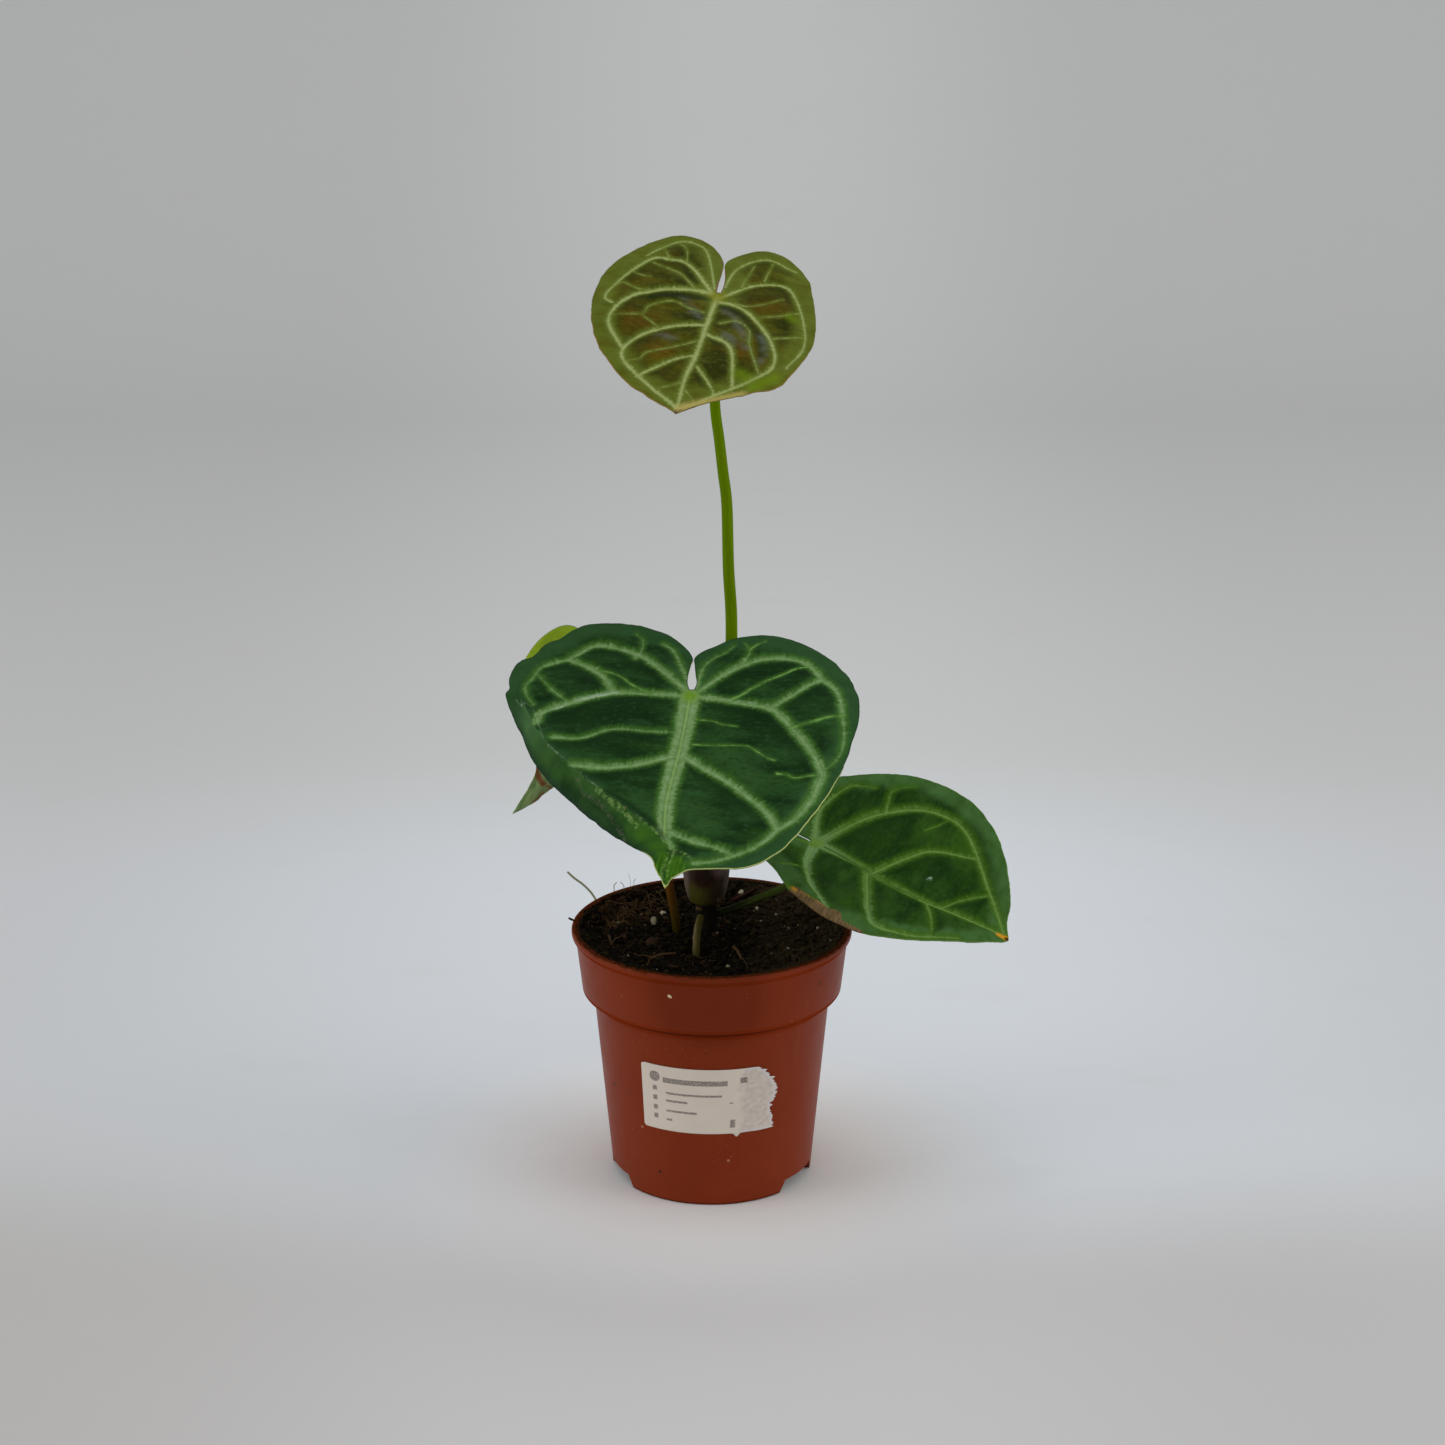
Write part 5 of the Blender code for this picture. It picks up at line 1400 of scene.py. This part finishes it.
def ripple(uv, seed):
    """Gentle uneven waves over a blade, between about -1 and 1."""
    u, v = uv.T
    return (
        np.sin(u / 8.3 + 1.7 * seed) * np.cos(v / 9.1 + 0.6 * seed)
        + 0.6 * np.sin((u + v) / 5.6 + 2.3 * seed)
        + 0.4 * np.sin((u - 1.4 * v) / 4.7 + seed)
    ) / 2


def leaf_outline(leaf):
    """The closed edge of the blade, with a slight fine wave."""
    left, right = (smooth_path(leaf[side], OUTLINE_STEP) for side in ("left", "right"))
    outline = np.vstack([left, right[-2::-1]])
    heading = np.roll(outline, -1, axis=0) - np.roll(outline, 1, axis=0)
    heading /= np.maximum(np.linalg.norm(heading, axis=1), 1e-6)[:, None]
    normal = np.column_stack([-heading[:, 1], heading[:, 0]])
    from_stalk = np.clip((np.hypot(*outline.T) - 27) / 12, 0, 1)
    wave = 0.45 * lumps(outline, (6, 6), 6) + 0.2 * lumps(outline, (2, 2), 7)
    return outline + normal * (wave * from_stalk)[:, None]


def fold_side(uv):
    """Distance from the main leaf's fold, and whether a point lies on its outer strip."""
    line = smooth_path(FOLD, 1.0)
    inner_side = np.vstack([[[-70, 5]], line, [[6, 101]], [[80, 101]], [[80, -50]], [[-80, -50]]])
    return path_field(uv, line)[0], ~inside_outline(uv, inner_side)


def fold_height(uv, edge, drop):
    """The outer strip bends down from the fold, which is a roll near the tip with a hollow inside it."""
    distance, outside = fold_side(uv)
    share = np.where(outside, distance / (distance + edge + 1e-6), 0)
    near_tip = np.clip((uv[:, 1] - 45) / 15, 0, 1) * np.clip(edge / 5, 0, 1)
    roll = 1.3 * np.exp(-(distance / 2.0) ** 2)
    hollow = np.where(outside, 0, 1.6) * np.exp(-((distance - 4.5) / 2.2) ** 2)
    return drop * share ** 1.2 + near_tip * (roll - hollow)


def leaf_fields(leaf, key, uv, outline):
    """Everything that the blade's form and finish take from its veins and edges."""
    edge = edge_distance(uv, outline)
    band, thin = np.full((2, len(uv)), -99.0)
    line = np.full(len(uv), 99.0)
    below, rib = np.zeros((2, len(uv)))
    flow = np.zeros((len(uv), 3))
    for number, (start, end, points) in enumerate(leaf["veins"]):
        path = smooth_path(points, VEIN_STEP)
        distance, reached, whole = path_field(uv, path)
        inside = start + (end - start) * reached / whole - distance
        nearer = inside > band
        drop = uv[:, 1] - np.interp(reached, lengths_along(path), path[:, 1])
        below[nearer] = (drop / np.maximum(distance, 0.1))[nearer]
        band = np.maximum(band, inside)
        flow[nearer] = np.column_stack([reached + 41 * number, distance, distance * 0])[nearer]
        line = np.minimum(line, distance)
        strength = min(1, 0.5 + max(start, end) / 5)
        rib = np.maximum(rib, strength * np.exp(-(distance / 1.5) ** 2))
    for width, points in leaf["thin"]:
        distance, reached, whole = path_field(uv, smooth_path(points, VEIN_STEP))
        thin = np.maximum(thin, width * (1 - 0.4 * reached / whole) - distance)
        rib = np.maximum(rib, 0.4 * np.exp(-(distance / 0.9) ** 2))
    rib *= np.clip(edge / 4, 0, 1)
    fields = {"edge": edge, "band": band, "line": line, "thin": thin, "below": below}
    if key == "main":
        distance, outside = fold_side(uv)
        fields["strip"] = np.where(outside, distance / (distance + edge + 1e-6), -0.2)
    for name, marks in MARKS[key].items():
        fields[name] = np.max([
            width - path_field(uv, smooth_path(points, VEIN_STEP))[0] for width, points in marks
        ], axis=0)
    return fields, rib, flow


def leaf_height(leaf, key, uv, fields, rib):
    """How far the blade's upper face stands above its plane, in mm."""
    u, v = uv.T
    edge = fields["edge"]
    height = leaf["keel"] * (np.sqrt(u * u + KEEL_ROUND ** 2) - KEEL_ROUND)
    height += leaf["side_bow"] * u * u
    height += np.where(v > 0, leaf["bow"], leaf["back_bow"]) * v * v
    tip_start, tip_bend = leaf["tip"]
    height += tip_bend * np.maximum(0, v - tip_start) ** 2
    bearing = np.degrees(np.arctan2(u, v))
    outer = np.clip(np.hypot(u, v) / CALM_RADIUS - 1, 0, 1)
    for number, (middle, spread, width, drop) in enumerate(leaf["curls"]):
        off = np.clip(np.abs((bearing - middle + 180) % 360 - 180) / spread, 0, 1)
        share = 0.5 + 0.5 * np.cos(np.pi * off)
        if key == "main" and number == 0:
            # The main leaf's first curl is its outer strip, which bends along the fold.
            height += share * outer * fold_height(uv, edge, drop)
        else:
            height += drop * share * outer * np.clip(1 - edge / width, 0, 1) ** 1.5
    calm = np.clip(np.hypot(u, v) / CALM_RADIUS, 0, 1)
    height += RIPPLE_HEIGHT * calm * ripple(uv, leaf["ripple"])
    off_vein = 1 - np.exp(-(np.minimum(fields["line"], 6) / 2.6) ** 2)
    room = np.clip(edge / 5, 0, 1) * calm * off_vein
    height += room * (0.5 + 0.55 * lumps(uv, (9, 6), 8) + 0.2 * lumps(uv, (4.5, 2.2), 9))
    return height - VEIN_DIP * calm * rib


def main_strip(finish, uv, along):
    """The main leaf's outer strip beyond its fold: painted shade darkening it to its edge, limier toward the
    tip, and a painted highlight along the fold's crest.
    """
    strip = finish.number("strip")
    cross = uv.grain((14, 8, 1), 3)
    paint = finish.mix(cross.rise(0.3, 0.7), (32, 62, 24), (48, 82, 34))
    paint = finish.mix(along.rise(40, 14) * 0.9, paint, (62, 96, 54))
    lower = along.rise(60, 80) * cross.rise(0.25, 0.65)
    paint = finish.mix(lower * 0.75, paint, (52, 94, 18))
    # Painted shade toward the strip's outer edge, where it bends down.
    paint = finish.mix(strip.rise(0.55, 0.97) * 0.65, paint, (22, 42, 30))
    # Painted highlight along the fold's crest.
    paint = finish.mix(strip.rise(0.12, 0.0) * (along.rise(8, 20) * 0.4), paint, (66, 96, 60))
    finish.coat(paint, strip.rise(-0.02, 0.05) * along.rise(2, 12))


def leaf_panels(finish, look, key, uv, edge, band):
    """Dark streaky panels with painted glints of sheen, their broad marks, a plainer margin, and painted
    shade under the veins.
    """
    clouds = uv.grain((26, 13, 1), 2)
    finish.base(uv.grain((24, 9, 1), 3).rise(0.3, 0.7), look["deep"], look["panel"])
    finish.coat(look["patch"], clouds.rise(0.5, 0.75), 0.7)
    # Painted sheen: lighter, bluish streaks over the panels.
    glints = uv.grain((13, 4, 1), 3).rise(0.5, 0.75) * clouds.rise(0.6, 0.4)
    finish.coat(look["streak"], glints, 0.5)
    # Broad patches: dusk lays painted shade in the deep colour, lift a lighter colour.
    for mark, (paint, soft, ragged, most) in PANEL_LOOKS.items():
        if mark in MARKS[key]:
            field = finish.number(mark) + uv.swing((9, 6, 1), ragged, 3)
            finish.coat(look[paint], field.rise(-soft, soft), most)
    mottle = uv.grain((2.6, 1.5, 1), 4)
    finish.coat(look["streak"], mottle.rise(0.52, 0.7), 0.35)
    finish.coat(look["deep"], mottle.rise(0.48, 0.3), 0.5)
    margin = finish.mix(uv.grain((9, 5, 1), 4).rise(0.1, 0.7), look["panel"], look["margin"])
    finish.coat(margin, (edge + uv.swing(7, 5, 2)).rise(12, 6), 0.85)
    shaded = finish.number("below").rise(0.2, 0.8) * band.rise(-9, -1)
    finish.coat(look["deep"], shaded * (edge.rise(2, 9) * look["shade"]))


def leaf_veins(finish, look, key, uv, band):
    """Pale feathered bands along the veins, thin broken side veins, and the fine line in the middle."""
    across, along, _ = uv.parts()
    uneven = uv.grain((5, 5, 1), 2).rise(0.35, 0.65) + 0.45
    teeth = finish.vector("flow").swing((1.2, 4.0, 1), look["teeth"], 4) * uneven
    ragged = band + teeth + uv.swing((6, 6, 1), look["waver"], 2) + uv.swing((1.1, 1.1, 1), 1.2, 3)
    reach = look["reach"]
    finish.coat(look["fringe"], ragged.rise(-reach, 0.4 * reach), 0.9)
    inner = finish.mix(uv.grain((2.5, 2.5, 1), 3).rise(0.3, 0.7), look["band_shade"], look["band"])
    if key == "right":
        near_stalk = (along + across * 0.8).rise(22, -6)
        inner = finish.mix(near_stalk * 0.8, inner, (112, 144, 94))
    finish.coat(inner, ragged.rise(-0.15 * reach, look["core"]), 0.95)

    thin = finish.number("thin") + uv.swing(0.9, 0.9, 3) + uv.swing(4, 0.9, 2)
    faded = uv.grain((4, 4, 1), 3).rise(0.35, 0.6)
    finish.coat(look["fringe"], thin.rise(-1.5, 0.1), 0.55)
    finish.coat(look["thin"], thin.rise(-0.25, 0.35) * (faded * 0.7 + 0.12))

    line = finish.number("line")
    finish.coat(look["line"], line.rise(0.55, 0.2) * band.rise(look["wide"] - 1.2, look["wide"]), 0.7)
    flank = abs(line - 0.85).rise(0.4, 0.05) * 0.35
    finish.coat(look["fringe"], flank * band.rise(0.3, 1.2))
    finish.coat(look["base"], uv.flat().length().rise(5.5, 1), 0.8)


def leaf_rim_tone(finish, look, key, uv, edge, band):
    """The thin line of another colour along the blade's edge, after the main leaf's strip and tip."""
    across, along, _ = uv.parts()
    pale_edge, margin = along.rise(5, 40) * 0.9, look["margin"]
    if key == "main":
        main_strip(finish, uv, along)
        from_tip = uv.vector_math("SUBTRACT", (4.5, 93, 0)).flat().length()
        toward_tip = (from_tip + uv.swing(3, 5, 3)).rise(11, 6)
        facets = finish.mix(uv.grain((1.5, 6, 1), 3).rise(0.3, 0.7), (40, 78, 12), look["tip"])
        finish.coat(facets, toward_tip * 0.85 * band.rise(0.7, -0.6))
        pale_edge, margin = across.rise(-10, -2) * along.rise(30, 50), (26, 50, 32)
    finish.coat(finish.mix(pale_edge, margin, look["edge"]), edge.rise(0.5, 0.15))


def leaf_marks(finish, key, uv):
    """The painted marks: dried edges, worn and glossy places, grooves."""
    for mark, (paint, soft, ragged, most) in MARK_LOOKS.items():
        if mark not in MARKS[key]:
            continue
        field = finish.number(mark) + uv.swing(1.6, ragged, 4)
        if mark in BROKEN_MARKS:
            most = uv.grain((*BROKEN_MARKS[mark], 1), 3).rise(0.36, 0.62) * most
        if mark == "dried":
            paint = finish.mix(uv.grain((5, 1.2, 1), 3).rise(0.35, 0.6), seen(paint, 0.55), paint)
        finish.coat(paint, field.rise(-soft, soft), most)


def leaf_face(look, key, name):
    """The upper face: dark panels, pale feathered vein bands and a plainer margin."""
    finish = Finish(name, look["roughness"], look["specular"])
    uv, edge, band = finish.vector("blade"), finish.number("edge"), finish.number("band")
    leaf_panels(finish, look, key, uv, edge, band)
    leaf_veins(finish, look, key, uv, band)
    leaf_rim_tone(finish, look, key, uv, edge, band)
    leaf_marks(finish, key, uv)
    finish.bump(uv.grain((6, 1.6, 1), 4) * 0.8 + uv.grain(1.0, 2) * 0.3, depth=0.2)
    return finish


def leaf_back(look, key, name):
    """The under face: paler, with its raised veins paler still."""
    finish = Finish(name, roughness=0.5, specular=0.08)
    uv = finish.vector("blade")
    finish.base(uv.grain(9, 4).rise(0.3, 0.7), seen(look["under"], 0.72), look["under"])
    finish.coat(look["under_vein"], finish.number("band").rise(-1.6, 0.6), 0.8)
    finish.coat(look["under_vein"], finish.number("thin").rise(-0.6, 0.1), 0.6)
    if key == "back":
        tip = finish.mix(uv.grain((3, 12, 1), 3).rise(0.35, 0.65), (78, 100, 68), (108, 128, 88))
        finish.coat(tip, uv.parts()[1].rise(20, 45), 0.9)
    brown = finish.mix(uv.grain((2, 3, 1), 3), (70, 44, 28), (128, 82, 46))
    finish.coat(brown, (finish.number("dried") + uv.swing(2.2, 2.6, 4)).rise(-1.0, 0.5))
    finish.bump(uv.grain(1.6, 3), depth=0.14)
    return finish


def leaf_rim(look, name):
    finish = Finish(name, roughness=0.5, specular=0.08)
    finish.base(finish.vector("blade").grain(4, 2), look["edge"], look["margin"])
    finish.coat((92, 68, 42), finish.number("dried").rise(-0.6, 0.3))
    return finish


def make_blade(key, leaf):
    outline = leaf_outline(leaf)
    lines = [smooth_path(row[-1], VEIN_STEP) for row in (*leaf["veins"], *leaf["thin"])]
    if key == "main":
        lines.append(smooth_path(FOLD, VEIN_STEP))
    uv, faces = triangulate(outline, lines, FILL_STEP)
    fields, rib, flow = leaf_fields(leaf, key, uv, outline)
    height = leaf_height(leaf, key, uv, fields, rib)
    across, along, outward = leaf_axes(leaf)
    points = np.array(leaf["attach"]) + np.outer(uv[:, 0], across) + np.outer(uv[:, 1], along)
    points += np.outer(height, outward)
    # u, v and the upper face make a left-handed set, so the triangles are turned over.
    faces = faces[:, [0, 2, 1]]
    name = f"blade_{key}"
    place = np.column_stack([uv, np.full(len(uv), 13.0 * leaf["ripple"])])
    mesh = mesh_from(name, points, faces, fields, {"blade": place, "flow": flow})
    look = LOOKS[key]
    blade = new_object(name, mesh, leaf_face(look, key, name + "_face"), leaf_back(look, key, name + "_back"),
                       leaf_rim(look, name + "_rim"))
    group = blade.vertex_groups.new(name="ribs")
    for index, weight in enumerate(rib):
        group.add([index], float(weight), "REPLACE")
    thicken(blade, RIB_THICKNESS, group.name, BLADE_THICKNESS / RIB_THICKNESS)
    settle(blade, BLADE_SLOTS[key], "leaf_" + key)


def stalk_finish(key):
    finish = Finish("stalk_" + key, roughness=0.45, specular=0.015)
    skin = finish.vector("skin")
    foot, top, change_start, change_end = STALK_COLORS[key]
    fine = skin.grain((14, 0.7, 0.7), 4)
    finish.base(finish.number("share").rise(change_start, change_end), foot, top)
    finish.coat(seen(top, 1.35), fine.rise(0.45, 0.75), 0.5)
    finish.coat((60, 48, 22), skin.grain((0.9, 0.6, 0.6), 2).rise(0.68, 0.74), 0.35)
    finish.bump(fine, depth=0.12)
    return finish


def make_stalk(key, leaf):
    points, foot_radius, top_radius = STALKS[key]
    outward = leaf_axes(leaf)[2]
    end = np.array(leaf["attach"]) - outward
    path = smooth_path([*points, end - outward * STALK_LEAD, end], STALK_STEP)
    share = np.linspace(0, 1, len(path))
    knuckle = np.exp(-((1 - share) * len(path) * STALK_STEP / 7 - 0.9) ** 2)
    radii = (foot_radius + (top_radius - foot_radius) * share) * (1 + 0.10 * knuckle)
    stalk = tube_object("stalk_" + key, [(path, radii)], stalk_finish(key), sides=28)
    settle(stalk, "stalk", "petiole_" + key)


for make in (make_camera, make_light, make_stage, make_pot, make_label, make_soil, make_crumbs, make_perlite,
             make_fibres, make_strays, make_stem, make_sheath, make_root):
    make()
for leaf_key, leaf_data in LEAVES.items():
    make_blade(leaf_key, leaf_data)
    make_stalk(leaf_key, leaf_data)
